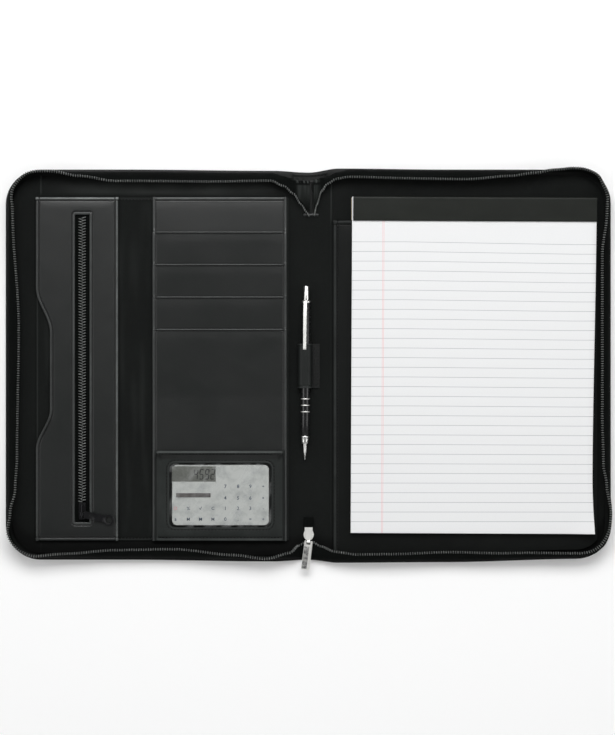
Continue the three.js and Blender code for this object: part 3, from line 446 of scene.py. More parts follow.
class Nodes:
    """Places and links the nodes of one node tree."""

    def __init__(self, tree: NodeTree) -> None:
        """Starts on a tree, emptied first."""
        self.tree = tree
        tree.nodes.clear()

    def add(self, kind: str, sockets: dict | None = None, **settings: object) -> Node:
        """Adds a node.

        Args:
            kind: type of the node, without its ShaderNode prefix.
            sockets: inputs by name or number, each a value or the output that feeds it.
            settings: the node's own settings.

        Returns:
            The node.
        """
        node = self.tree.nodes.new(kind if kind.startswith("Node") else "ShaderNode" + kind)
        for setting, value in settings.items():
            setattr(node, setting, value)
        for name, value in (sockets or {}).items():
            if isinstance(value, NodeSocket):
                self.tree.links.new(value, node.inputs[name])
            else:
                node.inputs[name].default_value = value
        return node

    def math(self, operation: str, *values: object) -> NodeSocket:
        """Output of a Math node on one to three values."""
        return self.add("Math", dict(enumerate(values)), operation=operation).outputs[0]

    def times(self, *values: object) -> NodeSocket:
        """Product of two values."""
        return self.math("MULTIPLY", *values)

    def between(self, value: object, low: float, high: float, to_low: float = 0.0,
                to_high: float = 1.0) -> NodeSocket:
        """A value's range mapped to another, held at its ends.

        Args:
            value: the value.
            low: lowest value.
            high: highest value.
            to_low: result at the lowest value.
            to_high: result at the highest value.

        Returns:
            The mapped value.
        """
        return self.add("MapRange", {
            "Value": value, "From Min": low, "From Max": high, "To Min": to_low, "To Max": to_high,
        }).outputs[0]

    def colours(self, share: object, low: object, high: object, blend: str = "MIX") -> NodeSocket:
        """Colour a share of the way from low to high."""
        return self.add("Mix", {0: share, 6: low, 7: high}, data_type="RGBA", blend_type=blend).outputs[2]

    def mark(self, name: str) -> NodeSocket:
        """Number stored at the vertices under a name, 0 on a piece without it."""
        return self.add("Attribute", attribute_name=name).outputs["Fac"]

    def group(self, tree: NodeTree, **sockets: object) -> Node:
        """Places a node group."""
        return self.add("Group", sockets, node_tree=tree)

    def place(self) -> NodeSocket:
        """Object coordinates."""
        return self.add("TexCoord").outputs["Object"]

    def noise(self, **sockets: object) -> NodeSocket:
        """Value of a noise texture."""
        return self.add("TexNoise", sockets).outputs[0]

    def height(self, vector: object) -> NodeSocket:
        """Z of a vector."""
        return self.add("SeparateXYZ", {"Vector": vector}).outputs["Z"]

    def bump(self, height: object, strength: float, distance: float) -> NodeSocket:
        """Normal of a height, its distance in millimetres.

        Args:
            height: the height.
            strength: strength of the bump.
            distance: height of the relief in millimetres.

        Returns:
            The normal.
        """
        return self.add("Bump", {
            "Height": height, "Strength": strength, "Distance": distance * METRES,
        }).outputs[0]

    def surface(self, **sockets: object) -> None:
        """Ends a material in a Principled shader, its inputs named with _ for a space."""
        named = {name.replace("_", " "): value for name, value in sockets.items()}
        shader = self.add("BsdfPrincipled", named)
        self.add("OutputMaterial", {"Surface": shader.outputs[0]})


def shared_group(name: str, inputs: dict[str, object], outputs: Sequence[str],
                 make: Callable[[Nodes, Node], Sequence[NodeSocket]]) -> NodeTree:
    """Node group that several materials place.

    Args:
        name: the group's name.
        inputs: its inputs, each a number, or None for a vector.
        outputs: its outputs, all numbers.
        make: fills the group and gives the sockets that feed the outputs.

    Returns:
        The group's tree.
    """
    tree = bpy.data.node_groups.new(name, "ShaderNodeTree")
    for socket, value in inputs.items():
        kind = "NodeSocketVector" if value is None else "NodeSocketFloat"
        made_socket = tree.interface.new_socket(name=socket, in_out="INPUT", socket_type=kind)
        if value is not None:
            made_socket.default_value = value
    for socket in outputs:
        tree.interface.new_socket(name=socket, in_out="OUTPUT", socket_type="NodeSocketFloat")
    nodes = Nodes(tree)
    start = nodes.add("NodeGroupInput")
    results = make(nodes, start)
    nodes.add("NodeGroupOutput", dict(zip(outputs, results)))
    return tree


class Effects:
    """Node groups for the effects that several finishes share."""

    def __init__(self) -> None:
        """Builds each group once."""
        relief, mask = ("Height", "Tone"), ("Mask",)
        self.grain = shared_group("leather_grain", {"Vector": None, "Cells": 1100.0, "Creases": 60.0}, relief,
                                  self._grain)
        self.weave = shared_group("woven_threads", {"Vector": None, "Threads": 2200.0, "Slub": 0.3}, relief,
                                  self._weave)
        self.wear = shared_group("rubbed_wear", {"Vector": None, "Scale": 30.0, "Amount": 0.4}, mask,
                                 self._wear)
        self.dust = shared_group("settled_dust", {"Vector": None, "Amount": 0.3}, mask, self._dust)

    @staticmethod
    def _grain(nodes: Nodes, start: Node) -> Sequence[NodeSocket]:
        """Fine pebbled cells with soft creases through them.

        Args:
            nodes: nodes of the group.
            start: the group's inputs.

        Returns:
            Height and tone.
        """
        cells = nodes.add("TexVoronoi", {
            "Vector": start.outputs["Vector"], "Scale": start.outputs["Cells"], "Randomness": 0.9,
        }, feature="SMOOTH_F1").outputs["Distance"]
        creases = nodes.noise(Vector=start.outputs["Vector"], Scale=start.outputs["Creases"], Detail=4.0,
                              Roughness=0.6, Distortion=0.4)
        height = nodes.math("ADD", nodes.times(cells, -0.6), nodes.times(creases, 1.4))
        return height, creases

    @staticmethod
    def _weave(nodes: Nodes, start: Node) -> Sequence[NodeSocket]:
        """Threads that cross over and under each other.

        Args:
            nodes: nodes of the group.
            start: the group's inputs.

        Returns:
            Height and tone.
        """
        threads = [
            nodes.add("TexWave", {"Vector": start.outputs["Vector"], "Scale": start.outputs["Threads"]},
                      wave_type="BANDS", bands_direction=axis).outputs["Fac"]
            for axis in ("X", "Y")
        ]
        slub = nodes.noise(Vector=start.outputs["Vector"], Scale=240.0, Detail=3.0)
        woven = nodes.math("MAXIMUM", *threads)
        uneven = nodes.times(slub, start.outputs["Slub"])
        return nodes.math("ADD", woven, uneven), nodes.math("ADD", nodes.times(woven, 0.5), uneven)

    @staticmethod
    def _wear(nodes: Nodes, start: Node) -> Sequence[NodeSocket]:
        """Uneven rubbed places.

        Args:
            nodes: nodes of the group.
            start: the group's inputs.

        Returns:
            The mask.
        """
        wear_and_highlight = nodes.noise(Vector=start.outputs["Vector"], Scale=start.outputs["Scale"], Detail=6.0,
                             Roughness=0.65)
        level = nodes.math("SUBTRACT", 1.0, start.outputs["Amount"])
        above = nodes.times(nodes.math("SUBTRACT", wear_and_highlight, nodes.times(level, 0.75)), 4.0)
        return (nodes.math("MINIMUM", nodes.math("MAXIMUM", above, 0.0), 1.0),)

    @staticmethod
    def _dust(nodes: Nodes, start: Node) -> Sequence[NodeSocket]:
        """Sparse fine specks.

        Args:
            nodes: nodes of the group.
            start: the group's inputs.

        Returns:
            The mask.
        """
        specks = nodes.noise(Vector=start.outputs["Vector"], Scale=1500.0, Detail=1.0)
        patches = nodes.noise(Vector=start.outputs["Vector"], Scale=25.0, Detail=2.0)
        return (nodes.times(nodes.times(nodes.between(specks, 0.62, 0.75), patches),
                           start.outputs["Amount"]),)


EFFECTS = Effects()


# Finishes


class Finish:
    """A surface finish of one record slot, whose material is made once."""

    name: str
    slot: Slot

    def material(self) -> bpy.types.Material:
        """The finish's material, made at its first use."""
        known = bpy.data.materials.get(self.name)
        if known is not None:
            return known
        made_material = bpy.data.materials.new(self.name)
        made_material.use_nodes = True
        self.dress(Nodes(made_material.node_tree))
        return made_material

    def dress(self, nodes: Nodes) -> None:
        """Fills the material's node tree."""
        raise NotImplementedError


@dataclass(frozen=True)
class Leather(Finish):
    """Smooth black leather with a fine grain, rubbed lighter in places, with painted highlights on its rolled
    edges and painted shade in its seams.
    """

    name: str
    dark: Colour = (0.0032, 0.0038, 0.0035, 1.0)
    light: Colour = (0.0065, 0.0076, 0.0071, 1.0)
    # Painted highlight colour for rolled edges and crests, with some rubbed wear.
    wear_and_highlight: Colour = (0.17, 0.185, 0.18, 1.0)
    roughness: float = 0.4
    cells: float = 1100.0
    grain_depth: float = 0.1
    gloss: float = 0.36
    slot: Slot = Slot.LEATHER

    def dress(self, nodes: Nodes) -> None:
        """Grain, tone, rubbed wear, a little dust, painted highlights and painted shade.

        Args:
            nodes: nodes of the material.
        """
        place = nodes.place()
        grain = nodes.group(EFFECTS.grain, Vector=place, Cells=self.cells)
        wear = nodes.group(EFFECTS.wear, Vector=place, Scale=22.0, Amount=0.42).outputs[0]
        dust = nodes.group(EFFECTS.dust, Vector=place, Amount=0.25).outputs[0]
        tone = nodes.between(grain.outputs["Tone"], 0.3, 0.7, 0.1, 0.8)
        share = nodes.times(nodes.math("ADD", tone, wear), 0.5)
        colour = nodes.colours(share, self.dark, self.light)
        colour = nodes.colours(nodes.times(dust, 0.3), colour, (0.12, 0.12, 0.115, 1.0))
        # Painted highlight, with some rubbed wear, where the vertices mark rolled edges and crests.
        mark = nodes.mark("rub")
        rub = nodes.times(mark, nodes.between(grain.outputs["Tone"], 0.35, 0.65, 0.55, 1.0))
        colour = nodes.colours(rub, colour, self.wear_and_highlight)
        # Painted shade turns the colour near black in seam grooves and other marked places.
        nodes.surface(
            Base_Color=nodes.colours(nodes.mark("press"), colour, (0.0012, 0.0014, 0.0013, 1.0)),
            Roughness=nodes.between(wear, 0.0, 1.0, self.roughness + 0.04, self.roughness - 0.02),
            Specular_IOR_Level=self.gloss,
            Normal=nodes.bump(grain.outputs["Height"], 0.55, self.grain_depth),
        )


@dataclass(frozen=True)
class Cloth(Finish):
    """Black woven cloth, with painted highlights and painted shade."""

    name: str
    dark: Colour = (0.0028, 0.0034, 0.0031, 1.0)
    light: Colour = (0.0065, 0.0078, 0.0072, 1.0)
    # Painted highlight colour for folded edges, fold crests and lit tape.
    wear_and_highlight: Colour = (0.04, 0.044, 0.042, 1.0)
    gloss: float = 0.12
    threads: float = 2600.0
    depth: float = 0.08
    roughness: float = 0.78
    along_piece: bool = False
    slot: Slot = Slot.LINING

    def dress(self, nodes: Nodes) -> None:
        """Crossing threads with uneven tone, painted highlights and painted shade.

        Args:
            nodes: nodes of the material.
        """
        source = nodes.add("TexCoord")
        place = source.outputs["UV" if self.along_piece else "Object"]
        weave = nodes.group(EFFECTS.weave, Vector=place, Threads=self.threads / TURN)
        broad = nodes.noise(Vector=source.outputs["Object"], Scale=18.0, Detail=3.0)
        dust = nodes.group(EFFECTS.dust, Vector=source.outputs["Object"], Amount=0.3).outputs[0]
        share = nodes.times(weave.outputs["Tone"], nodes.between(broad, 0.3, 0.7, 0.5, 1.2))
        colour = nodes.colours(share, self.dark, self.light)
        colour = nodes.colours(nodes.times(dust, 0.3), colour, (0.1, 0.1, 0.1, 1.0))
        # Painted highlight where the vertices mark folded edges, fold crests and lit tape.
        colour = nodes.colours(nodes.mark("rub"), colour, self.wear_and_highlight)
        rough, smoother = self.roughness + 0.08, self.roughness - 0.08
        # Painted shade turns the cloth near black where the vertices mark it, as along the foot under the
        # tape.
        nodes.surface(
            Base_Color=nodes.colours(nodes.mark("press"), colour, (0.001, 0.0012, 0.0011, 1.0)),
            Roughness=nodes.between(weave.outputs["Tone"], 0.0, 1.0, rough, smoother),
            Specular_IOR_Level=self.gloss,
            Normal=nodes.bump(weave.outputs["Height"], 0.6, self.depth),
        )


@dataclass(frozen=True)
class Nylon(Finish):
    """Black nylon of zip teeth and thread."""

    name: str
    colour: Colour = (0.016, 0.017, 0.0165, 1.0)
    worn: Colour = (0.05, 0.05, 0.048, 1.0)
    roughness: float = 0.33
    slot: Slot = Slot.COIL

    def dress(self, nodes: Nodes) -> None:
        """Satin nylon, lighter in noise patches: rubbed places, and on the coil painted glints on its teeth.

        Args:
            nodes: nodes of the material.
        """
        place = nodes.place()
        wear = nodes.group(EFFECTS.wear, Vector=place, Scale=700.0, Amount=0.42).outputs[0]
        fine = nodes.noise(Vector=place, Scale=2400.0, Detail=2.0)
        nodes.surface(
            Base_Color=nodes.colours(wear, self.colour, self.worn),
            Roughness=nodes.between(fine, 0.3, 0.7, self.roughness - 0.05, self.roughness + 0.12),
            Normal=nodes.bump(fine, 0.3, 0.03),
        )


@dataclass(frozen=True)
class Metal(Finish):
    """Plated metal with fine scratches and rubbed, duller patches."""

    name: str
    colour: Colour = (0.74, 0.74, 0.72, 1.0)
    dull: Colour = (0.3, 0.3, 0.3, 1.0)
    roughness: float = 0.2
    patches: float = 0.3
    patch_scale: float = 160.0
    slot: Slot = Slot.NICKEL

    def dress(self, nodes: Nodes) -> None:
        """Scratches run one way; patches are darker and rougher.

        Args:
            nodes: nodes of the material.
        """
        place = nodes.place()
        stretched = nodes.add("Mapping", {"Vector": place, "Scale": (900.0, 120.0, 900.0)}).outputs[0]
        scratches = nodes.noise(Vector=stretched, Scale=1.0, Detail=5.0)
        patches = nodes.group(EFFECTS.wear, Vector=place, Scale=self.patch_scale,
                              Amount=self.patches).outputs[0]
        base = nodes.colours(patches, self.colour, self.dull)
        scratched = nodes.between(scratches, 0.3, 0.7, self.roughness, self.roughness + 0.12)
        nodes.surface(
            Base_Color=base,
            Metallic=1.0,
            Roughness=nodes.math("ADD", scratched, nodes.times(patches, 0.22)),
            Normal=nodes.bump(scratches, 0.15, 0.02),
        )


@dataclass(frozen=True)
class Enamel(Finish):
    """Glossy enamel over metal."""

    name: str
    colour: Colour = (0.009, 0.009, 0.0095, 1.0)
    worn: Colour = (0.05, 0.05, 0.05, 1.0)
    roughness: float = 0.24
    slot: Slot = Slot.ENAMEL

    def dress(self, nodes: Nodes) -> None:
        """Clear coated enamel with hairline marks.

        Args:
            nodes: nodes of the material.
        """
        place = nodes.place()
        marks = nodes.group(EFFECTS.wear, Vector=place, Scale=420.0, Amount=0.36).outputs[0]
        ripple = nodes.noise(Vector=place, Scale=500.0, Detail=2.0)
        nodes.surface(
            Base_Color=nodes.colours(nodes.times(marks, 0.4), self.colour, self.worn),
            Roughness=nodes.between(marks, 0.0, 1.0, self.roughness, self.roughness + 0.15),
            Coat_Weight=0.25,
            Coat_Roughness=0.08,
            Normal=nodes.bump(ripple, 0.1, 0.02),
        )


@dataclass(frozen=True)
class Plastic(Finish):
    """Moulded plastic with a fine spark-eroded texture."""

    name: str
    colour: Colour = (0.6, 0.61, 0.6, 1.0)
    soiled: Colour = (0.5, 0.51, 0.5, 1.0)
    roughness: float = 0.38
    slot: Slot = Slot.CALCULATOR

    def dress(self, nodes: Nodes) -> None:
        """Texture and faint handling marks.

        Args:
            nodes: nodes of the material.
        """
        place = nodes.place()
        fine = nodes.noise(Vector=place, Scale=3200.0, Detail=2.0)
        marks = nodes.group(EFFECTS.wear, Vector=place, Scale=90.0, Amount=0.4).outputs[0]
        nodes.surface(
            Base_Color=nodes.colours(marks, self.colour, self.soiled),
            Roughness=nodes.between(fine, 0.3, 0.7, self.roughness - 0.06, self.roughness + 0.1),
            Normal=nodes.bump(fine, 0.35, 0.02),
        )


@dataclass(frozen=True)
class Film(Finish):
    """Clear soft film with whiter streaks of milky haze and painted reflection."""

    name: str
    slot: Slot = Slot.FILM

    def dress(self, nodes: Nodes) -> None:
        """Mostly see-through, whiter along slanting streaks of painted reflection and haze.

        Args:
            nodes: nodes of the material.
        """
        place = nodes.place()
        skewed = nodes.add("Mapping", {"Vector": place, "Rotation": (0.0, 0.0, math.radians(38))}).outputs[0]
        slanted = nodes.add("Mapping", {"Vector": skewed, "Scale": (130.0, 24.0, 1.0)}).outputs[0]
        # Slanting streaks of painted reflection and milky haze.
        haze_and_glare = nodes.noise(Vector=slanted, Scale=1.0, Detail=4.0, Distortion=0.6)
        ripples = nodes.noise(Vector=place, Scale=70.0, Detail=2.0)
        nodes.surface(
            Base_Color=(0.86, 0.88, 0.88, 1.0),
            Roughness=nodes.between(haze_and_glare, 0.3, 0.7, 0.1, 0.2),
            Alpha=nodes.between(haze_and_glare, 0.5, 0.66, 0.0, 0.05),
            Normal=nodes.bump(ripples, 0.4, 0.4),
        )


@dataclass(frozen=True)
class RuledPaper(Finish):
    """White writing paper with printed rules and a double margin line, and sheet edges down its sides."""

    name: str
    last_rule: float = -138.3
    pitches: Spot = (8.52, 8.433)
    pitch_places: Spot = (85.6, 235.0)
    rules: int = 30
    margin: float = 65.8
    margin_gap: float = 1.1
    turn: float = 0.27
    slot: Slot = Slot.PAPER

    def dress(self, nodes: Nodes) -> None:
        """Rules by place on the sheet, fibres and sheet edges by noise.

        Args:
            nodes: nodes of the material.
        """
        place = nodes.place()
        parts = nodes.add("SeparateXYZ", {"Vector": place})
        pitch = nodes.between(parts.outputs["X"], *(x * METRES for x in self.pitch_places),
                              *(pitch * METRES for pitch in self.pitches))
        above = nodes.math("SUBTRACT", parts.outputs["Y"], self.last_rule * METRES)
        along = nodes.math("DIVIDE", above, pitch)
        off_rule = nodes.math("ABSOLUTE", nodes.math("SUBTRACT", along, nodes.math("ROUND", along)))
        rule = nodes.between(off_rule, 0.012, 0.03, 1.0, 0.0)
        in_range = nodes.times(nodes.math("GREATER_THAN", along, -0.4),
                              nodes.math("LESS_THAN", along, self.rules - 0.6))
        rule = nodes.times(rule, in_range)
        askew = nodes.add("Mapping", {"Vector": place, "Rotation": (0.0, 0.0, math.radians(self.turn))})
        across = nodes.add("SeparateXYZ", {"Vector": askew.outputs[0]}).outputs["X"]
        from_margin = nodes.math("SUBTRACT", across, self.margin * METRES)
        pair = nodes.math("ABSOLUTE", nodes.math("SUBTRACT", nodes.math("ABSOLUTE", from_margin),
                                                 self.margin_gap * METRES / 2))
        margin = nodes.between(pair, 0.00008, 0.00022, 1.0, 0.0)
        facing = nodes.height(nodes.add("NewGeometry").outputs["Normal"])
        upward = nodes.math("GREATER_THAN", facing, 0.5)
        fibres = nodes.noise(Vector=place, Scale=900.0, Detail=4.0)
        layered = nodes.add("Mapping", {"Vector": place, "Scale": (25.0, 25.0, 7000.0)}).outputs[0]
        sheets = nodes.noise(Vector=layered, Scale=1.0, Detail=3.0)
        paper = nodes.colours(fibres, (0.75, 0.755, 0.76, 1.0), (0.80, 0.805, 0.81, 1.0))
        layers = nodes.between(sheets, 0.35, 0.65)
        edges = nodes.colours(layers, (0.5, 0.5, 0.5, 1.0), (0.86, 0.86, 0.86, 1.0))
        printed = nodes.colours(rule, paper, (0.35, 0.365, 0.385, 1.0))
        printed = nodes.colours(nodes.times(margin, 0.85), printed, (0.82, 0.38, 0.40, 1.0))
        nodes.surface(
            Base_Color=nodes.colours(upward, edges, printed),
            Roughness=nodes.between(fibres, 0.0, 1.0, 0.75, 0.92),
            Specular_IOR_Level=0.25,
            Normal=nodes.bump(nodes.math("ADD", nodes.times(fibres, 0.3), sheets), 0.3, 0.05),
        )


@dataclass(frozen=True)
class Board(Finish):
    """Grey-brown pad board with fibres."""

    name: str
    slot: Slot = Slot.BOARD

    def dress(self, nodes: Nodes) -> None:
        """Pulp flecks.

        Args:
            nodes: nodes of the material.
        """
        place = nodes.place()
        pulp = nodes.noise(Vector=place, Scale=1200.0, Detail=5.0, Roughness=0.7)
        nodes.surface(
            Base_Color=nodes.colours(pulp, (0.3, 0.25, 0.19, 1.0), (0.55, 0.47, 0.36, 1.0)),
            Roughness=nodes.between(pulp, 0.0, 1.0, 0.8, 0.95),
            Normal=nodes.bump(pulp, 0.4, 0.08),
        )


COVER_LEATHER = Leather("cover_leather", gloss=0.22)
PANEL_LEATHER = Leather("panel_leather", dark=(0.0026, 0.0036, 0.0033, 1.0),
                        light=(0.0056, 0.0074, 0.0068, 1.0), roughness=0.37, gloss=0.5)
POCKET_LEATHER = Leather("pad_pocket_leather", gloss=0.14)
# Lighter copy of the black leather: its brighter colour is painted light on the frame, whose head gets
# painted shade.
LIT_FRAME_LEATHER = Leather("calculator_frame_leather_lit", dark=(0.015, 0.0172, 0.0164, 1.0),
                        light=(0.027, 0.0305, 0.029, 1.0), roughness=0.5, gloss=0.12)
LOOP_LEATHER = Leather("pen_loop_leather", dark=(0.0056, 0.007, 0.0065, 1.0),
                       light=(0.0125, 0.015, 0.014, 1.0), roughness=0.46, gloss=0.26)
LINING = Cloth("lining_weave")
TAPE = Cloth("zip_tape_weave", dark=(0.0018, 0.0022, 0.002, 1.0), light=(0.0045, 0.0055, 0.005, 1.0),
             gloss=0.05, threads=1500.0, depth=0.12, roughness=0.9, along_piece=True, slot=Slot.TAPE)
# The coil's colours are lightened: painted glints on its teeth, with some rubbed wear.
COIL = Nylon("coil_nylon", colour=(0.06, 0.064, 0.062, 1.0), worn=(0.24, 0.25, 0.24, 1.0))
THREAD = Nylon("sewing_thread", colour=(0.003, 0.0034, 0.0032, 1.0), worn=(0.012, 0.012, 0.012, 1.0),
               roughness=0.6, slot=Slot.TAPE)
NICKEL = Metal("polished_nickel", colour=(0.9, 0.9, 0.88, 1.0), dull=(0.6, 0.6, 0.58, 1.0), patches=0.2)
SATIN_NICKEL = Metal("satin_nickel", colour=(0.93, 0.93, 0.9, 1.0), dull=(0.7, 0.7, 0.67, 1.0),
                     roughness=0.42)
WORN_NICKEL = Metal("worn_nickel", colour=(0.5, 0.5, 0.48, 1.0), dull=(0.1, 0.1, 0.105, 1.0), roughness=0.45,
                    patches=0.46, patch_scale=300.0)
GUNMETAL = Metal("black_metal", colour=(0.03, 0.03, 0.032, 1.0), dull=(0.07, 0.07, 0.07, 1.0), roughness=0.3,
                 slot=Slot.GUNMETAL)
PEN_ENAMEL = Enamel("pen_enamel_black", colour=(0.005, 0.005, 0.0055, 1.0), worn=(0.03, 0.03, 0.03, 1.0))
CASING = Plastic("calculator_casing", colour=(0.41, 0.425, 0.41, 1.0), soiled=(0.29, 0.305, 0.3, 1.0))
CLEAR_FILM = Film("window_film_clear")
PAPER = RuledPaper("ruled_paper")
PAD_BOARD = Board("pad_board_fibre")
HEADBAND = Leather("headband_leather", dark=(0.006, 0.0075, 0.0056, 1.0), light=(0.0105, 0.0125, 0.0098, 1.0),
                   gloss=0.2, cells=1500.0, grain_depth=0.05)
DISPLAY = Plastic("display_glass", (0.105, 0.11, 0.1, 1.0), (0.16, 0.165, 0.155, 1.0), 0.2)
SOLAR = Plastic("solar_cell", (0.075, 0.07, 0.07, 1.0), (0.13, 0.125, 0.12, 1.0), 0.2)
INK = Plastic("display_ink", (0.004, 0.0045, 0.0045, 1.0), (0.03, 0.03, 0.03, 1.0), 0.5)
KEY_INK = Plastic("key_ink", (0.03, 0.045, 0.075, 1.0), (0.06, 0.075, 0.11, 1.0), 0.5)
RED_INK = Plastic("red_key_ink", (0.5, 0.18, 0.18, 1.0), (0.55, 0.3, 0.3, 1.0), 0.5)


def finished(piece: BMesh | bpy.types.Mesh, name: str, finish: Finish, body: Body = Body.CASE,
             sharp: float = 40.0, replaces: Sequence[str] = ()) -> bpy.types.Object:
    """Makes a piece an object that rides on its body.

    Args:
        piece: a bmesh in millimetres, which is freed, or a mesh in metres.
        name: the piece's name.
        finish: its finish.
        body: body that carries it.
        sharp: angle in degrees past which an edge stays sharp.
        replaces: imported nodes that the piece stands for.

    Returns:
        The object.
    """
    if isinstance(piece, BMesh):
        bmesh.ops.scale(piece, vec=(METRES,) * 3, verts=piece.verts[:])
        mesh = bpy.data.meshes.new(name)
        piece.to_mesh(mesh)
        piece.free()
    else:
        mesh = piece
    mesh.polygons.foreach_set("use_smooth", [True] * len(mesh.polygons))
    mesh.set_sharp_from_angle(angle=math.radians(sharp))
    obj = bpy.data.objects.new(name, mesh)
    bpy.context.scene.collection.objects.link(obj)
    mesh.materials.append(finish.material())
    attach(obj, body.value)
    if replaces:
        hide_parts(*replaces)
    LOG.info("%s: %d faces", name, len(mesh.polygons))
    return obj


def dressed(node: str, finish: Finish) -> None:
    """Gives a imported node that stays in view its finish.

    Args:
        node: the node's name.
        finish: its finish.
    """
    mesh = frame["nodes"][node].data
    mesh.materials.clear()
    mesh.materials.append(finish.material())


def box_of(node: str) -> tuple[Vector, Vector]:
    """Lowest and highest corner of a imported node, in millimetres."""
    low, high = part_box(node)
    return low / METRES, high / METRES


@dataclass
class Stitching:
    """Rows of stitches that are joined into one piece."""

    name: str
    pitch: float = 3.0
    length: float = 2.1
    width: float = 0.55
    height: float = 0.4

    def __post_init__(self) -> None:
        """Starts with no stitches."""
        self.places: list[Matrix] = []

    def sew(self, points: Sequence[Vector]) -> None:
        """Adds a row of stitches along a line of points."""
        self.places += [standing(centre, along) for centre, along, _ in spaced(points, self.pitch)]

    def run(self, start: Spot, end: Spot, top: Height, steps: int = 60, lift: float = 0.05) -> None:
        """Adds a straight row that follows a surface.

        Args:
            start: X and Y of its start.
            end: X and Y of its end.
            top: gives the surface's level at a place.
            steps: number of steps in which it follows the surface.
            lift: height of the stitches' middles over the surface.
        """
        spots = [(mix(start[0], end[0], share), mix(start[1], end[1], share)) for share in evenly(steps)]
        self.sew([Vector((x, y, top(x, y) + lift)) for x, y in spots])

    def build(self) -> bpy.types.Object:
        """Makes the rows a piece."""
        stitch = bmesh.new()
        bmesh.ops.create_icosphere(stitch, subdivisions=1, radius=0.5,
                                   matrix=Matrix.Diagonal((self.length, self.width, self.height, 1.0)))
        return finished(repeated(stitch, self.places, self.name), self.name, THREAD, sharp=180.0)


# Case body


@dataclass(frozen=True)
class CaseSizes:
    """Sizes that several pieces of the case share."""

    gap: float = 0.3
    height: float = 346.8
    left_width: float = 254.9
    spine_width: float = 32.7
    right_width: float = 249.2
    corner_radius: float = 31.0
    board: float = 3.2
    spine_board: float = 2.0
    lining_inset: float = 5.5
    lining: float = 0.8
    head_sway: Rows = ((0, 0), (0.2, 0), (0.44, -0.003), (0.5, -0.0075), (0.55, 0.0026), (0.73, 0), (1, 0))
    foot_sway: Rows = ((0, -0.002), (0.2, -0.002), (0.44, 0.0026), (0.5, -0.0014), (0.55, 0.006),
                       (0.73, 0.0043), (0.95, -0.004), (1, -0.002))

    @property
    def width(self) -> float:
        """Whole width across the open case."""
        return self.left_width + self.spine_width + self.right_width

    @property
    def spine_left(self) -> float:
        """Fold at the left of the spine."""
        return self.left_width - self.width / 2

    @property
    def spine_right(self) -> float:
        """Fold at the right of the spine."""
        return self.spine_left + self.spine_width

    @property
    def lining_top(self) -> float:
        """Upper side of the lining."""
        return self.board + self.gap + self.lining

    def sway(self, edge: Edge, x: float) -> float:
        """How far an edge strays outwards from straight."""
        rows = self.head_sway if edge is Edge.HEAD else self.foot_sway
        return self.height * eased(rows, 1, x / self.width + 0.5)

    def edge(self, edge: Edge, x: float, inset: float = 0.0) -> float:
        """Y of the head or foot edge, with its rounded corners.

        Args:
            edge: which edge.
            x: place across the case.
            inset: distance inside the case's outline.

        Returns:
            The edge's Y there.
        """
        radius = self.corner_radius - inset
        into = radius - (self.width / 2 - inset - abs(x))
        corner = radius - math.sqrt(max(radius * radius - into * into, 0.0)) if into > 0 else 0.0
        return edge.value * (self.height / 2 - inset + self.sway(edge, x) - corner)

    def across(self, inset: float, corner_steps: int, middle_steps: int) -> list[float]:
        """Shares across the case, close together where its corners turn.

        Args:
            inset: distance inside the case's outline.
            corner_steps: number of steps in a corner.
            middle_steps: number of steps between the corners.

        Returns:
            Rising shares from 0 to 1.
        """
        corner = (self.corner_radius - inset) / (self.width - 2 * inset)
        turn = [corner * (1 - math.cos(share * math.pi / 2)) for share in evenly(corner_steps)]
        middle = [mix(corner, 1 - corner, share) for share in evenly(middle_steps)[1:-1]]
        return [*turn, *middle, *(1 - share for share in reversed(turn))]

    def outlined(self, inset: float, columns: Sequence[float], rows: Sequence[float],
                 top: Height) -> BMesh:
        """Grid with the open case's outline.

        Args:
            inset: distance inside the case's outline.
            columns: shares across the grid.
            rows: shares along it.
            top: gives the level at a place.

        Returns:
            The grid.
        """
        span = self.width - 2 * inset

        def place(u: float, v: float) -> Vector:
            """Point of the grid."""
            x = span * (u - 0.5)
            y = mix(self.edge(Edge.FOOT, x, inset), self.edge(Edge.HEAD, x, inset), v)
            return Vector((x, y, top(x, y)))

        return laid(columns, rows, place, (span, self.height - 2 * inset))


CASE = CaseSizes()


@dataclass
class Cover:
    """Outer leather: two stiff boards, the soft spine between them and a turned rim."""

    rim: float = 0.9
    crease_depth: float = 0.45
    crease_width: float = 2.2

    def groove(self, x: float, _: float) -> float:
        """Depth of the pressed creases beside the spine, on the outside.

        Args:
            x: place across the case.
            _: not used.

        Returns:
            The depth there.
        """
        return sum(
            self.crease_depth * fading(0, self.crease_width, abs(x - line))
            for line in (CASE.spine_left - 2, CASE.spine_right + 2)
        )

    def top(self, x: float, _: float) -> float:
        """Level of the inner face.

        Args:
            x: place across the case.
            _: not used.

        Returns:
            The level there.
        """
        across = min(smooth(CASE.spine_left - 1.5, CASE.spine_left + 1.5, x),
                     fading(CASE.spine_right - 1.5, CASE.spine_right + 1.5, x))
        return mix(CASE.board, CASE.spine_board, across)

    def build(self) -> None:
        """Makes the leather."""
        rows = steps_with_edges(CASE.height, (3.0, 8.0), 40)
        leather = CASE.outlined(0, CASE.across(0, 12, 150), rows, self.top)
        thickened(leather, shaped_under(self.groove), self.rim, 3)
        finished(leather, "cover_leather", COVER_LEATHER, replaces=["cover"])


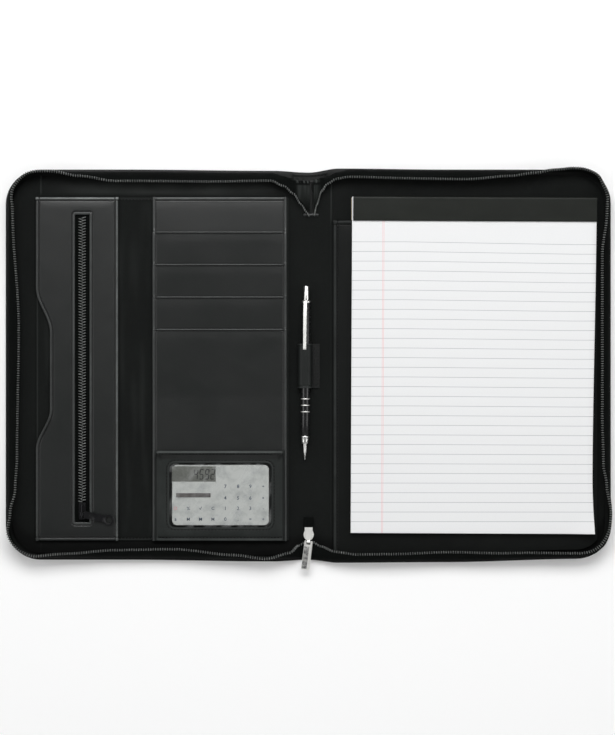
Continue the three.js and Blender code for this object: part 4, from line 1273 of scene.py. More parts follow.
@dataclass
class Lining:
    """Black cloth over both boards and the spine, puckered where the zip tape pulls it."""

    thickness: float = 0.8
    pucker_height: float = 0.7
    pucker_pitch: float = 22.0
    pucker_reach: tuple[Spot, Spot] = ((8, 18), (6, 12))
    seams: Spot = (-237.0, 20.3)
    fade: float = 3.0
    left_panels: Rect = (-242, -157, -16, 150)
    pad_pocket: Spot = (21, 128)
    pad: Spot = (37, 149)

    def free(self, x: float, y: float) -> float:
        """1 where nothing lies on the lining, 0 under the panels and the pad.

        Args:
            x: place across the case.
            y: place along it.

        Returns:
            A share from 0 to 1.
        """
        left, foot, right, head = self.left_panels
        on_left = smooth(left - self.fade, left, x) * fading(right, right + self.fade, x)
        on_left *= smooth(foot - self.fade, foot, y) * fading(head, head + self.fade, y)
        on_right = [smooth(start - self.fade, start, x) * fading(end, end + self.fade, y)
                    for start, end in (self.pad_pocket, self.pad)]
        return 1 - max(on_left, *on_right)

    def top(self, x: float, y: float) -> float:
        """Level of the cloth.

        Args:
            x: place across the case.
            y: place along it.

        Returns:
            The level there.
        """
        from_head = CASE.edge(Edge.HEAD, x, CASE.lining_inset) - y
        from_foot = y - CASE.edge(Edge.FOOT, x, CASE.lining_inset)
        wave = 0.5 + 0.5 * math.sin(2 * math.pi * x / self.pucker_pitch + noise.noise((x / 40, 0, 0)) * 3)
        near = smooth(0, 4, from_head) * fading(*self.pucker_reach[0], from_head)
        near += 0.5 * smooth(0, 4, from_foot) * fading(*self.pucker_reach[1], from_foot)
        ripple = 0.12 * noise.noise((x / 9, y / 30, 1.0)) + 0.15 * noise.noise((x / 30, y / 60, 4.0))
        seam = sum(0.28 * fading(0.3, 1.1, abs(x - line))
                   - 0.25 * fading(0.2, 0.8, abs(x - line - 1.3)) for line in self.seams)
        return CASE.lining_top + self.free(x, y) * (self.pucker_height * near * wave + ripple + seam)

    def rub(self, x: float, y: float) -> float:
        """Painted highlights on the folded edges along the seams, and a lighter patch painted over the cloth
        at the head of the left half.

        Args:
            x: place across the case.
            y: place along it.

        Returns:
            How much lighter it is painted there, from 0 to 1.
        """
        line = max(fading(0.1, 0.8, abs(x - seam)) for seam in self.seams)
        from_head = CASE.edge(Edge.HEAD, x, CASE.lining_inset) - y
        # A lighter patch painted over the cloth at the head of the left half.
        slack = smooth(-238, -190, x) * fading(-60, -14, x) * smooth(2, 10, from_head)
        slack *= 0.3 + 0.2 * noise.noise((x / 24, y / 12, 3.0))
        return (0.5 * line + slack * fading(26, 32, from_head)) * self.free(x, y)

    def press(self, x: float, y: float) -> float:
        """Painted shade along the foot, under the tape."""
        from_foot = y - CASE.edge(Edge.FOOT, x, CASE.lining_inset)
        return 0.9 * fading(10, 20, from_foot)

    def build(self) -> None:
        inset = CASE.lining_inset
        span, length = CASE.width - 2 * inset, CASE.height - 2 * inset
        near_seams = [((line + offset) / span) + 0.5 for line in self.seams
                      for offset in (-1.2, -0.6, 0, 0.6, 1.2, 1.8, 2.4)]
        columns = sorted({round(share, 6) for share in [*CASE.across(inset, 10, 260), *near_seams]})
        rows = steps_with_edges(length, (1.5, 3, 5, 7, 9, 12, 15, 18), 60)
        cloth = CASE.outlined(inset, columns, rows, self.top)
        marked(cloth, rub=self.rub, press=self.press)
        thickened(cloth, down(self.thickness), 0.3, 1)
        piece = finished(cloth, "lining_sheet", LINING, replaces=["lining"])


@dataclass(frozen=True)
class Station:
    """A place on the cover's edge that the zip tape rises from."""

    at: float
    point: Vector
    inward: Vector


LEFT_LEAN: Rows = (
    (0, 1.0, 1.03), (0.008, 0.78, 0.84), (0.017, 0.42, 0.85), (0.042, 0.13, 0.9), (0.073, 0.33, 0.95),
    (0.135, 0.6, 1), (0.197, 0.53, 1), (0.245, 0.33, 1), (0.289, 0.15, 1), (0.322, 0.08, 1), (0.347, 0.29, 1),
    (0.37, 0.56, 1), (0.403, 0.66, 1), (0.538, 0.75, 1), (0.658, 0.42, 1), (0.69, 0.19, 1), (0.71, 0.05, 1),
    (0.733, 0.06, 1), (0.763, 0.35, 1), (0.8, 0.63, 1), (0.886, 0.63, 1), (0.96, 0.55, 0.95),
    (0.973, 0.64, 0.82), (0.983, 0.83, 0.88), (0.991, 1.43, 1.45), (0.997, 1.9, 1.91), (1, 2.14, 2.15),
)
RIGHT_LEAN: Rows = (
    (0, 1.0, 1.03), (0.011, 0.78, 0.86), (0.026, 0.59, 0.95), (0.048, 0.46, 1), (0.085, 0.46, 1),
    (0.145, 0.55, 1), (0.208, 0.42, 1), (0.277, 0.3, 1), (0.312, 0.21, 1), (0.348, 0.01, 1), (0.378, 0.27, 1),
    (0.398, 0.45, 1), (0.45, 0.51, 1), (0.616, 0.51, 1), (0.66, 0.25, 1), (0.69, 0.14, 1), (0.706, -0.1, 1),
    (0.732, -0.14, 1), (0.75, -0.04, 1), (0.771, 0.17, 1), (0.797, 0.35, 1), (0.84, 0.53, 1), (0.9, 0.5, 1),
    (0.964, 0.45, 0.95), (0.976, 0.38, 0.75), (0.986, 0.4, 0.6), (0.992, 0.75, 0.8), (0.997, 1.5, 1.52),
    (1, 2.14, 2.15),
)
LEFT_FOOT: Rows = ((0, 0.13, 0), (0.96, 0.13, 0), (0.973, 0.3, 0.07), (0.983, 0.5, 0.14), (1, 0.5, 0.14))
RIGHT_FOOT: Rows = ((0, 0.13, 0), (0.964, 0.13, 0), (0.976, 0.3, 0.07), (0.986, 0.5, 0.14), (1, 0.5, 0.14))


@dataclass
class OpenZip:
    """Zip tape that stands up round one half, and its coil."""

    half: Half
    lean: Rows
    foot: Rows
    tape_width: float = 15.0
    tape_length: float = 870.0
    to_coil: float = 0.93
    thickness: float = 1.1
    mouth: float = 1.9
    foot_mouth: float = 0.3
    head_mouth: float = 3.1
    tooth_pitch: float = 2.1
    tooth: Size = (2.1, 0.85, 2.3)
    tooth_rounding: float = 0.32

    def station(self, at: float) -> Station:
        """Place on the cover's edge.

        Args:
            at: share of the way round the half, from the foot of the spine to its head.

        Returns:
            The place.
        """
        outward = self.half.value
        start = outward * self.foot_mouth + self.mouth
        end = outward * self.head_mouth + self.mouth
        radius = CASE.corner_radius
        straight = CASE.width / 2 - radius
        side = CASE.height - 2 * radius
        quarter = radius * math.pi / 2
        edge = CASE.height / 2
        gone = at * (straight - start + quarter + side + quarter + straight - end)

        def corner(angle: float, centre: float) -> tuple[float, float, float, float]:
            """Place and inward direction at an angle round a corner."""
            return (straight + radius * math.cos(angle), centre + radius * math.sin(angle),
                    -math.cos(angle), -math.sin(angle))

        if gone <= straight - start:
            out, y, in_out, in_y = start + gone, -edge, 0.0, 1.0
        elif gone <= straight - start + quarter:
            out, y, in_out, in_y = corner((gone - straight + start) / radius - math.pi / 2, radius - edge)
        elif gone <= straight - start + quarter + side:
            out, in_out, in_y = CASE.width / 2, -1.0, 0.0
            y = radius - edge + gone - straight + start - quarter
        elif gone <= straight - start + 2 * quarter + side:
            out, y, in_out, in_y = corner((gone - straight + start - quarter - side) / radius, edge - radius)
        else:
            out, y, in_out, in_y = straight - (gone - straight + start - 2 * quarter - side), edge, 0.0, -1.0
        x = outward * out
        side_edge = Edge.HEAD if y > 0 else Edge.FOOT
        sway = side_edge.value * CASE.sway(side_edge, x)
        return Station(at, Vector((x, y + sway * abs(in_y), CASE.board + CASE.gap)),
                       Vector((outward * in_out, in_y, 0.0)))

    def curve(self, station: Station) -> tuple[Vector, Vector, Vector]:
        """Control points of the tape's middle, from its foot to the middle of the coil.

        Args:
            station: the place that the tape rises from.

        Returns:
            The three points.
        """
        seat = self.tape_width * eased(self.foot, 1, station.at)
        lift = self.tape_width * eased(self.foot, 2, station.at)
        across = self.tape_width * eased(self.lean, 1, station.at)
        reach = self.tape_width * eased(self.lean, 2, station.at)
        rise = math.sqrt(max(reach * reach - across * across, 0.0))
        base = station.point + station.inward * seat + UP * lift
        return (base, base + station.inward * (0.05 * across) + UP * (0.9 * rise),
                base + station.inward * across + UP * rise)

    def on_tape(self, station: Station, share: float) -> tuple[Vector, Vector]:
        """Point of the tape's middle and the direction across the tape there.

        Args:
            station: the place that the tape rises from.
            share: share of the way from its foot to the middle of the coil.

        Returns:
            Both.
        """
        start, bend, end = self.curve(station)
        point = start * (1 - share) ** 2 + bend * (2 * share * (1 - share)) + end * share ** 2
        return point, ((bend - start) * (1 - share) + (end - bend) * share).normalized()

    def off_tape(self, station: Station, along: Vector) -> Vector:
        """Direction off the tape's inner face."""
        return (station.inward * -along.z + Vector((0, 0, along.dot(station.inward)))).normalized()

    def coil_places(self) -> list[tuple[Vector, Vector, Vector]]:
        """Middle of each tooth, with the zip's direction and the direction across the tape there."""
        stations = [self.station(at) for at in evenly(1400)]
        ends = [self.on_tape(station, 1.0) for station in stations]
        line = [point for point, _ in ends]
        length = sum((there - here).length for here, there in zip(line, line[1:]))
        pitch = length / round(length / self.tooth_pitch)
        return [(middle, along, ends[number][1]) for middle, along, number in spaced(line, pitch)]

    def wrinkle(self, x: float, y: float) -> float:
        """Gathers of the tape where it crosses the head of the spine."""
        across = smooth(-17, -12, x) * fading(10, 14, x)
        return across * smooth(158, 162, y) * noise.noise((x / 1.5 + (y - 164) * 0.1, y / 12, 5.0))

    def lit(self, x: float, y: float) -> float:
        """Painted light on the gathers at the head of the spine and on the tape below them.

        Args:
            x: place across the case.
            y: place along it.

        Returns:
            How light it is there, from 0 to 1.
        """
        across = smooth(-12, -8, x) * fading(7, 12, x)
        below = 0.55 * smooth(137, 157, y) * fading(158.5, 160, y)
        below *= 0.75 + 0.5 * noise.noise((x / 2, y / 20, 2.0))
        band = smooth(160.5, 162, y) * fading(167, 168.5, y) * max(0.2 + 3 * self.wrinkle(x, y), 0.0)
        return min(across * (below + band), 1.0) + 0.5 * fading(0.2, 0.7, abs(y - 170.0)) * across

    def build(self) -> None:
        """Makes the tape and the coil."""
        name = self.half.name.lower()

        def place(u: float, v: float) -> Vector:
            """Point of the tape, which ripples a little and gathers at the head of the spine."""
            station = self.station(v)
            point, along = self.on_tape(station, u * self.to_coil)
            ripple = 0.35 * noise.noise(point / 7) * smooth(0.1, 0.5, u) * fading(0.7, 1, u)
            ripple += 0.3 * self.wrinkle(point.x, point.y) * smooth(0.0, 0.2, u) * fading(0.8, 1, u)
            return point + self.off_tape(station, along) * ripple

        rows = sorted({*evenly(300), *(mix(0.955, 1, share) for share in evenly(130))})
        tape = laid(steps_with_edges(1.0, (0.08, 0.16), 16), rows, place, (self.tape_width, self.tape_length))
        marked(tape, rub=self.lit)
        walled(tape, self.thickness)
        piece = finished(tape, f"zip_tape_{name}", TAPE, replaces=[f"gusset_{name}"])
        self.build_coil(name)

    def build_coil(self, name: str) -> None:
        """Makes the teeth, one shape at many places.

        Args:
            name: the half's name.
        """
        tooth = block(self.tooth, (0, 0, 0), self.tooth_rounding, 1)
        places = []
        for middle, along, across in self.coil_places():
            off = across.cross(along).normalized()
            side = off.cross(across).normalized()
            turn = Matrix((across, side, off)).transposed().to_4x4()
            places.append(Matrix.Translation(middle - across * 0.2) @ turn)
        name = f"coil_{name}"
        finished(repeated(tooth, places, name), name, COIL, sharp=180.0, replaces=[f"zip_{name}"])


# Leather panels


@dataclass(frozen=True)
class Hem:
    """Turned edge of a leather panel: a narrow roll and the pressed seam behind it."""

    roll: float = 2.5
    height: float = 0.7
    seam: float = 3.0
    depth: float = 0.42
    pillow: float = 0.35
    width: float = 0.62

    @property
    def near(self) -> list[float]:
        """Distances from the edge at which the hem needs a row of points."""
        roll = [self.roll * share for share in (0.04, 0.14, 0.3, 0.5, 0.7, 0.86, 0.96, 1)]
        seam = [self.seam + self.width * share for share in (-0.6, -0.3, 0, 0.3, 0.6, 1)]
        beyond = [self.seam + far for far in (1.2, 2.2, 4.2, 7.2)]
        return sorted({round(far, 3) for far in (*roll, *seam, *beyond)})

    def level(self, *distances: float) -> float:
        """Height above the panel's own level, from the distances to its hemmed edges."""
        roll = max(self.height * arch(far / self.roll) for far in distances)
        seam = self.depth * self.press(*distances)
        pillow = math.prod(smooth(self.seam, self.seam + 7, far) for far in distances)
        return roll - seam + self.pillow * pillow

    def rub(self, *distances: float) -> float:
        """How much painted highlight the roll gets, with some rubbed wear, most on its crest."""
        return max(fading(0.12, 0.5, abs(far / self.roll - 0.5)) for far in distances)

    def press(self, *distances: float) -> float:
        """1 in the pressed seam, 0 beside it; it sets the seam's depth and its painted shade."""
        return max(fading(0.1, self.width, abs(far - self.seam)) for far in distances)


def creased(x: float, y: float, height: float = 0.12) -> float:
    """Soft unevenness of a laid leather panel."""
    return height * (noise.noise((x / 26, y / 30, 3.0)) + 0.5 * noise.noise((x / 9, y / 11, 7.0)))


@dataclass
class DocumentPanel:
    """Leather panel with an S-shaped thumb cut in its left edge and a framed slot for the pocket zip."""

    stitches: Stitching
    hem: Hem = Hem(pillow=0.14)
    thumb_depth: float = 12.4
    thumb: Rect = (80.6, 119.5, 188.5, 223.0)
    slot: Rect = (-206.45, -139.0, -193.75, 133.0)
    frame_seam: float = 3.0
    kept_hem: float = 12.0
    body: float = 0.9
    rise: float = 1.0

    def __post_init__(self) -> None:
        """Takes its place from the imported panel."""
        low, high = box_of("document_panel")
        self.left, self.foot, self.right, self.head, self.floor = low.x, low.y, high.x, high.y, low.z

    def left_at(self, y: float) -> float:
        """Left edge, with its thumb cut.

        Args:
            y: place along it.

        Returns:
            The edge's X there.
        """
        far = self.head - y
        start, deep, leave, end = self.thumb
        return self.left + self.thumb_depth * smooth(start, deep, far) * fading(leave, end, far)

    def from_slot(self, x: float, y: float) -> float:
        """Distance outside the slot."""
        left, foot, right, head = self.slot
        return math.hypot(max(left - x, x - right, 0.0), max(foot - y, y - head, 0.0))

    def floor_at(self, x: float, y: float, start: float = 0.0) -> float:
        """Underside of the panel, which rises from a distance to its sewn edges inwards."""
        margin = min(y - self.foot, self.head - y, self.right - x)
        return self.floor + self.rise * smooth(start, 8, margin)

    def top(self, x: float, y: float) -> float:
        """Upper side with its hems and the lip round the slot.

        Args:
            x: place across the case.
            y: place along it.

        Returns:
            The level there.
        """
        edges = (x - self.left_at(y), self.right - x, y - self.foot, self.head - y)
        slot = self.from_slot(x, y)
        lip = 0.4 * arch(slot / 2.6) - 0.4 * fading(0, 0.55, abs(slot - self.frame_seam))
        return self.floor_at(x, y, -6.0) + self.body + self.hem.level(*edges) + lip + creased(x, y)

    def rub(self, x: float, y: float) -> float:
        """Painted highlights on the hems, with some rubbed wear, and round the slot: strongest along the
        head, then down the right side.

        Args:
            x: place across the case.
            y: place along it.

        Returns:
            How much painted highlight it gets there, from 0 to 1.
        """
        slot = self.from_slot(x, y)
        return max(0.95 * self.hem.rub(self.head - y), 0.5 * self.hem.rub(self.right - x),
                   0.12 * self.hem.rub(x - self.left_at(y), y - self.foot),
                   0.3 * fading(0.2, 0.8, abs(slot - 1.2)))

    def press(self, x: float, y: float) -> float:
        """Painted shade in the pressed seams of the hems and of the slot's frame."""
        hems = self.hem.press(x - self.left_at(y), self.right - x, y - self.foot, self.head - y)
        return max(0.9 * hems, 0.9 * fading(0.1, 0.6, abs(self.from_slot(x, y) - self.frame_seam)))

    @staticmethod
    def apart(places: Sequence[float]) -> list[float]:
        """Rising places, without those that lie too close before another."""
        rising = sorted(set(places))
        return [place for place, after in zip(rising, [*rising[1:], math.inf]) if after - place > 0.04]

    def build(self) -> None:
        """Makes the panel and sews it."""
        left, foot, right, head = self.slot
        beside = (0.0, 0.15, 0.5, 1.0, 1.6, 2.1, 2.5, 2.75, 3.0, 3.25, 3.6, 4.4, 5.6)
        near = (0, *self.hem.near)
        xs = [*(self.left + far for far in (*near, 14, 20, 26, 31)), *(left - far for far in beside),
              left + 3, left + 6.35, right - 3,
              *(right + far for far in beside), *(self.right - far for far in (*near, 13, 16))]
        ys = [*(self.foot + far for far in near), *(self.head - far for far in near),
              *(foot - far for far in beside), *(head + far for far in beside),
              *(mix(foot, head, share) for share in evenly(110))]
        pinned = left - 8

        def place(u: float, v: float) -> Vector:
            """Point of the panel; the left hem follows the thumb cut, and the slot stays where it is."""
            y = self.foot + (self.head - self.foot) * v
            x = self.left + (self.right - self.left) * u
            if x < pinned:
                start, kept = self.left_at(y), self.kept_hem
                squeezed = (pinned - start - kept) / (pinned - self.left - kept)
                far = x - self.left
                x = start + far if far < kept else start + kept + (far - kept) * squeezed
            return Vector((x, y, self.top(x, y)))

        width, length = self.right - self.left, self.head - self.foot
        columns = [(x - self.left) / width for x in self.apart(xs)]
        rows = [(y - self.foot) / length for y in self.apart(ys)]
        leather = laid(columns, rows, place, (width, length))
        pierced(leather, left, foot, right, head)
        marked(leather, rub=self.rub, press=self.press)
        thickened(leather, shaped_under(self.floor_at))
        finished(leather, "document_panel_leather", PANEL_LEATHER, replaces=["document_panel"])
        self.sew()

    def sew(self) -> None:
        """Seams along the hems and round the slot."""
        seam = self.hem.seam
        left, right, foot, head = self.left + seam, self.right - seam, self.foot + seam, self.head - seam
        ys = [mix(foot, head, share) for share in evenly(160)]
        xs = [self.left_at(y) + seam for y in ys]
        self.stitches.sew([Vector((x, y, self.top(x, y) + 0.05)) for x, y in zip(xs, ys)])
        self.stitches.run((right, foot), (right, head), self.top, 160)
        self.stitches.run((left, head), (right, head), self.top, 40)
        self.stitches.run((left, foot), (right, foot), self.top, 40)
        left, foot, right, head = self.slot
        off = self.frame_seam
        corners = [(left - off, foot - off), (right + off, foot - off),
                   (right + off, head + off), (left - off, head + off)]
        for here, there in zip(corners, [*corners[1:], corners[0]]):
            self.stitches.run(here, there, self.top)


@dataclass
class PocketBacking:
    """Black cloth behind both leather panels, with its rim turned under and sewn."""

    stitches: Stitching
    seam: float = 2.2
    dent: float = 0.2
    slack: float = 0.14

    def __post_init__(self) -> None:
        """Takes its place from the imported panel."""
        self.low, self.high = box_of("pocket_backing")

    def from_rim(self, x: float, y: float) -> float:
        """Distance inside the nearest edge."""
        return min(x - self.low.x, self.high.x - x, y - self.low.y, self.high.y - y)

    def top(self, x: float, y: float) -> float:
        """Upper side, pressed in at the seam and a little slack inside it.

        Args:
            x: place across the case.
            y: place along it.

        Returns:
            The level there.
        """
        far = self.from_rim(x, y)
        slack = noise.noise((x / 6, y / 60, 8.0)) + 0.6 * noise.noise((x / 14, y / 22, 11.0))
        return (self.high.z - 0.1 - self.dent * fading(0.1, 0.9, abs(far - self.seam))
                + self.slack * slack * smooth(self.seam, self.seam + 6, far))

    def rub(self, x: float, y: float) -> float:
        """Painted highlights on the thread crests beside the seam and on the slack folds.

        Args:
            x: place across the case.
            y: place along it.

        Returns:
            How much painted highlight it gets there, from 0 to 1.
        """
        far = self.from_rim(x, y)
        fold = max(noise.noise((x / 6, y / 60, 8.0)), 0.0) * smooth(self.seam, self.seam + 6, far)
        return 0.3 * fading(0.2, 0.9, abs(far - self.seam + 1.1)) + 0.2 * fold

    def build(self) -> None:
        low, high = self.low, self.high
        width, length = high.x - low.x, high.y - low.y
        near = (0.15, 0.4, 0.8, 1.3, 1.8, 2.2, 2.6, 3.1, 4.0, 6.0)
        columns, rows = steps_with_edges(width, near, 130), steps_with_edges(length, near, 90)
        cloth = spread(low, high, columns, rows, self.top)
        marked(cloth, rub=self.rub)
        thickened(cloth, flat_under(low.z), 0.12, 1)
        piece = finished(cloth, "pocket_backing_cloth", LINING, replaces=["pocket_backing"])
        for y in (low.y + self.seam, high.y - self.seam):
            self.stitches.run((low.x + self.seam, y), (high.x - self.seam, y), self.top, 120)


@dataclass
class PocketZip:
    """Closed coil zip in the document panel's slot."""

    pitch: float = 2.5
    tooth: Size = (3.9, 0.95, 2.0)
    off_middle: float = 1.45
    slant: float = 14.0

    def build(self) -> None:
        """Makes the tape and both rows of teeth."""
        self.build_tape()
        self.build_teeth()

    def build_tape(self) -> None:
        low, high = box_of("pocket_zip_tape")
        width, length = high.x - low.x, high.y - low.y

        def place(u: float, v: float) -> Vector:
            """Point of the tape, a little hollow under each row of teeth."""
            x, y = mix(low.x, high.x, u), mix(low.y, high.y, v)
            level = high.z - 0.1 + 0.1 * math.cos(4 * math.pi * u) + 0.05 * noise.noise((x / 5, y / 9, 0))
            return Vector((x, y, level))

        tape = laid(evenly(18), evenly(90), place, (width, length))
        thickened(tape, flat_under(low.z))
        piece = finished(tape, "pocket_tape_cloth", TAPE, replaces=["pocket_zip_tape"])

    def build_teeth(self) -> None:
        """Makes the teeth, which lean towards the zip's middle from both sides in turn."""
        low, high = box_of("pocket_zip_coil")
        middle, level = (low.x + high.x) / 2, (low.z + high.z) / 2
        count = int((high.y - low.y) / self.pitch)
        places = []
        for turn in range(2 * count):
            side = 1 if turn % 2 else -1
            y = low.y + (turn + 0.5) * self.pitch / 2
            places.append(Matrix.Translation((middle + side * self.off_middle, y, level))
                          @ Matrix.Rotation(math.radians(side * self.slant), 4, "Z"))
        tooth = block(self.tooth, (0, 0, 0), 0.42, 1)
        name = "pocket_coil_teeth"
        finished(repeated(tooth, places, name), name, COIL, sharp=180.0, replaces=["pocket_zip_coil"])


@dataclass
class CardPockets:
    """Card panel, its four stepped pocket fronts and the rolled binding down both sides."""

    stitches: Stitching
    hem: Hem = Hem(height=0.6, pillow=0.25)
    lip: Hem = Hem(roll=1.25, height=0.4, seam=1.7, depth=0.36, pillow=0.25, width=0.5)
    binding: float = 2.6
    binding_seam: float = 0.7
    base: float = 0.65
    lip_rise: float = 2.0
    body: float = 0.6
    last_slope: float = 60.0

    def __post_init__(self) -> None:
        """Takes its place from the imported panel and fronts."""
        low, high = box_of("card_panel")
        self.left, self.foot, self.right, self.head, self.floor = low.x, low.y, high.x, high.y, low.z
        self.fronts = [box_of(f"card_pocket_{number}") for number in (1, 2, 3, 4)]
        self.start, self.end = self.left + self.binding - 0.1, self.right - self.binding + 0.1
        self.columns = steps_with_edges(self.end - self.start, (0.3, 0.55, 0.8, 1.05, 1.4, 2.2, 4.0, 8.0), 26)

    def under(self, number: int, y: float) -> float:
        """Underside of a pocket front.

        Args:
            number: the front's place in the stack.
            y: place along it.

        Returns:
            The level there.
        """
        low, high = self.fronts[number]
        slope = self.last_slope if number == 3 else high.y - low.y
        return low.z + self.lip_rise * max(1 - (high.y - y) / slope, 0.0)

    def top(self, number: int, x: float, y: float) -> float:
        """Upper side of a pocket front.

        Args:
            number: the front's place in the stack.
            x: where across.
            y: where along.

        Returns:
            The level there.
        """
        side = min(x - self.left, self.right - x) - self.binding
        seam = 0.3 * fading(0, 0.5, abs(side - self.binding_seam))
        return (self.under(number, y) + self.body + self.lip.level(self.fronts[number][1].y - y) - seam
                + creased(x, y, 0.08 if number < 3 else 0.12))

    def stack(self, x: float, y: float) -> float:
        """Upper side of whatever lies on top at a place.

        Args:
            x: place across the case.
            y: place along it.

        Returns:
            The level there.
        """
        tops = [self.top(number, x, y)
                for number, (low, high) in enumerate(self.fronts) if low.y <= y <= high.y]
        return max([self.floor + 1.0, *tops])

    def side_seam_shade(self, x: float) -> float:
        """How much painted shade lies in the seams beside both bindings."""
        side = min(x - self.left, self.right - x) - self.binding
        return 0.9 * fading(0.1, 0.55, abs(side - self.binding_seam))

    def build(self) -> None:
        """Makes the panel, the fronts and the bindings."""
        self.build_panel()
        for number in range(len(self.fronts)):
            self.build_front(number)
        for name, side in (("left", 1), ("right", -1)):
            self.bind(name, side)
        self.sew_across(self.head - self.hem.seam, lambda x, y: self.floor + self.base, 0.0)

    def sew_across(self, y: float, top: Height, lift: float = 0.05) -> None:
        """Adds a row of stitches from binding to binding."""
        self.stitches.run((self.start + 0.5, y), (self.end - 0.5, y), top, lift=lift)

    def build_panel(self) -> None:
        """Makes the panel behind the fronts."""
        def top(x: float, y: float) -> float:
            """Upper side of the panel."""
            return self.floor + self.base + self.hem.level(self.head - y) + creased(x, y, 0.08)

        rows = steps_with_edges(self.head - self.foot, self.hem.near, 40, start=False)
        panel = spread((self.start, self.foot), (self.end, self.head), self.columns, rows, top)
        # Painted highlight on the head hem's roll, painted shade in its seam and in the seams beside the
        # bindings.
        marked(panel, rub=lambda x, y: 0.45 * self.hem.rub(self.head - y),
               press=lambda x, y: max(0.9 * self.hem.press(self.head - y), self.side_seam_shade(x)))
        thickened(panel, flat_under(self.floor))
        finished(panel, "card_panel_leather", PANEL_LEATHER, replaces=["card_panel"])

    def build_front(self, number: int) -> None:
        """Makes one pocket front and sews its lip.

        Args:
            number: its place in the stack, from 0 at the head.
        """
        low, high = self.fronts[number]

        def top(x: float, y: float) -> float:
            """Upper side of this front."""
            return self.top(number, x, y)

        rows = steps_with_edges(high.y - low.y, self.lip.near, 60 if number == 3 else 12, start=False)
        leather = spread((self.start, low.y), (self.end, high.y), self.columns, rows, top)
        # Painted highlight on the lip's roll, painted shade in its seam and in the seams beside the bindings.
        marked(leather, rub=lambda x, y: 0.3 * self.lip.rub(high.y - y),
               press=lambda x, y: max(0.95 * self.lip.press(high.y - y), self.side_seam_shade(x)))
        thickened(leather, shaped_under(lambda x, y: self.under(number, y)))
        node = f"card_pocket_{number + 1}"
        finished(leather, f"{node}_leather", PANEL_LEATHER, replaces=[node])
        self.sew_across(high.y - self.lip.seam, top)

    def bind(self, name: str, side: int) -> None:
        """Rolled binding down one side, over the pocket fronts' ends, and its seam.

        Args:
            name: the side's name.
            side: 1 for the left side, -1 for the right.
        """
        start = self.left if side == 1 else self.right - self.binding
        off = self.binding_seam
        inner = self.left + self.binding + off if side == 1 else self.right - self.binding - off

        def place(u: float, v: float) -> Vector:
            """Point of the binding, which eases over the steps of the fronts."""
            x, y = start + self.binding * u, mix(self.foot, self.head, v)
            base = self.stack(inner + side * 2.5, y)
            eased_base = sum(self.stack(inner + side * 2.5, min(max(y + step, self.foot), self.head - 0.1))
                             for step in (-1.2, -0.6, 0.6, 1.2)) / 4
            roll = 0.55 * arch(u)
            return Vector((x, y, (base + eased_base) / 2 - 0.25 + roll))

        length = self.head - self.foot
        steps = [(high.y + far - self.foot) / length
                 for _, high in self.fronts for far in (-3, -2, -1, -0.3, 0.3, 1)]
        columns = (0, 0.04, 0.15, 0.35, 0.5, 0.65, 0.85, 0.96, 1)
        strip = laid(columns, sorted({*evenly(150), *steps}), place, (self.binding, length))
        # Painted highlight along the binding's crest.
        marked(strip, rub=lambda x, y: 0.26 * fading(0.15, 0.8, abs(x - start - self.binding / 2)))
        thickened(strip, flat_under(self.floor))
        finished(strip, f"card_binding_{name}", PANEL_LEATHER)
        self.stitches.run((inner, self.foot + 1), (inner, self.head - 2), self.stack, 300, 0.1)


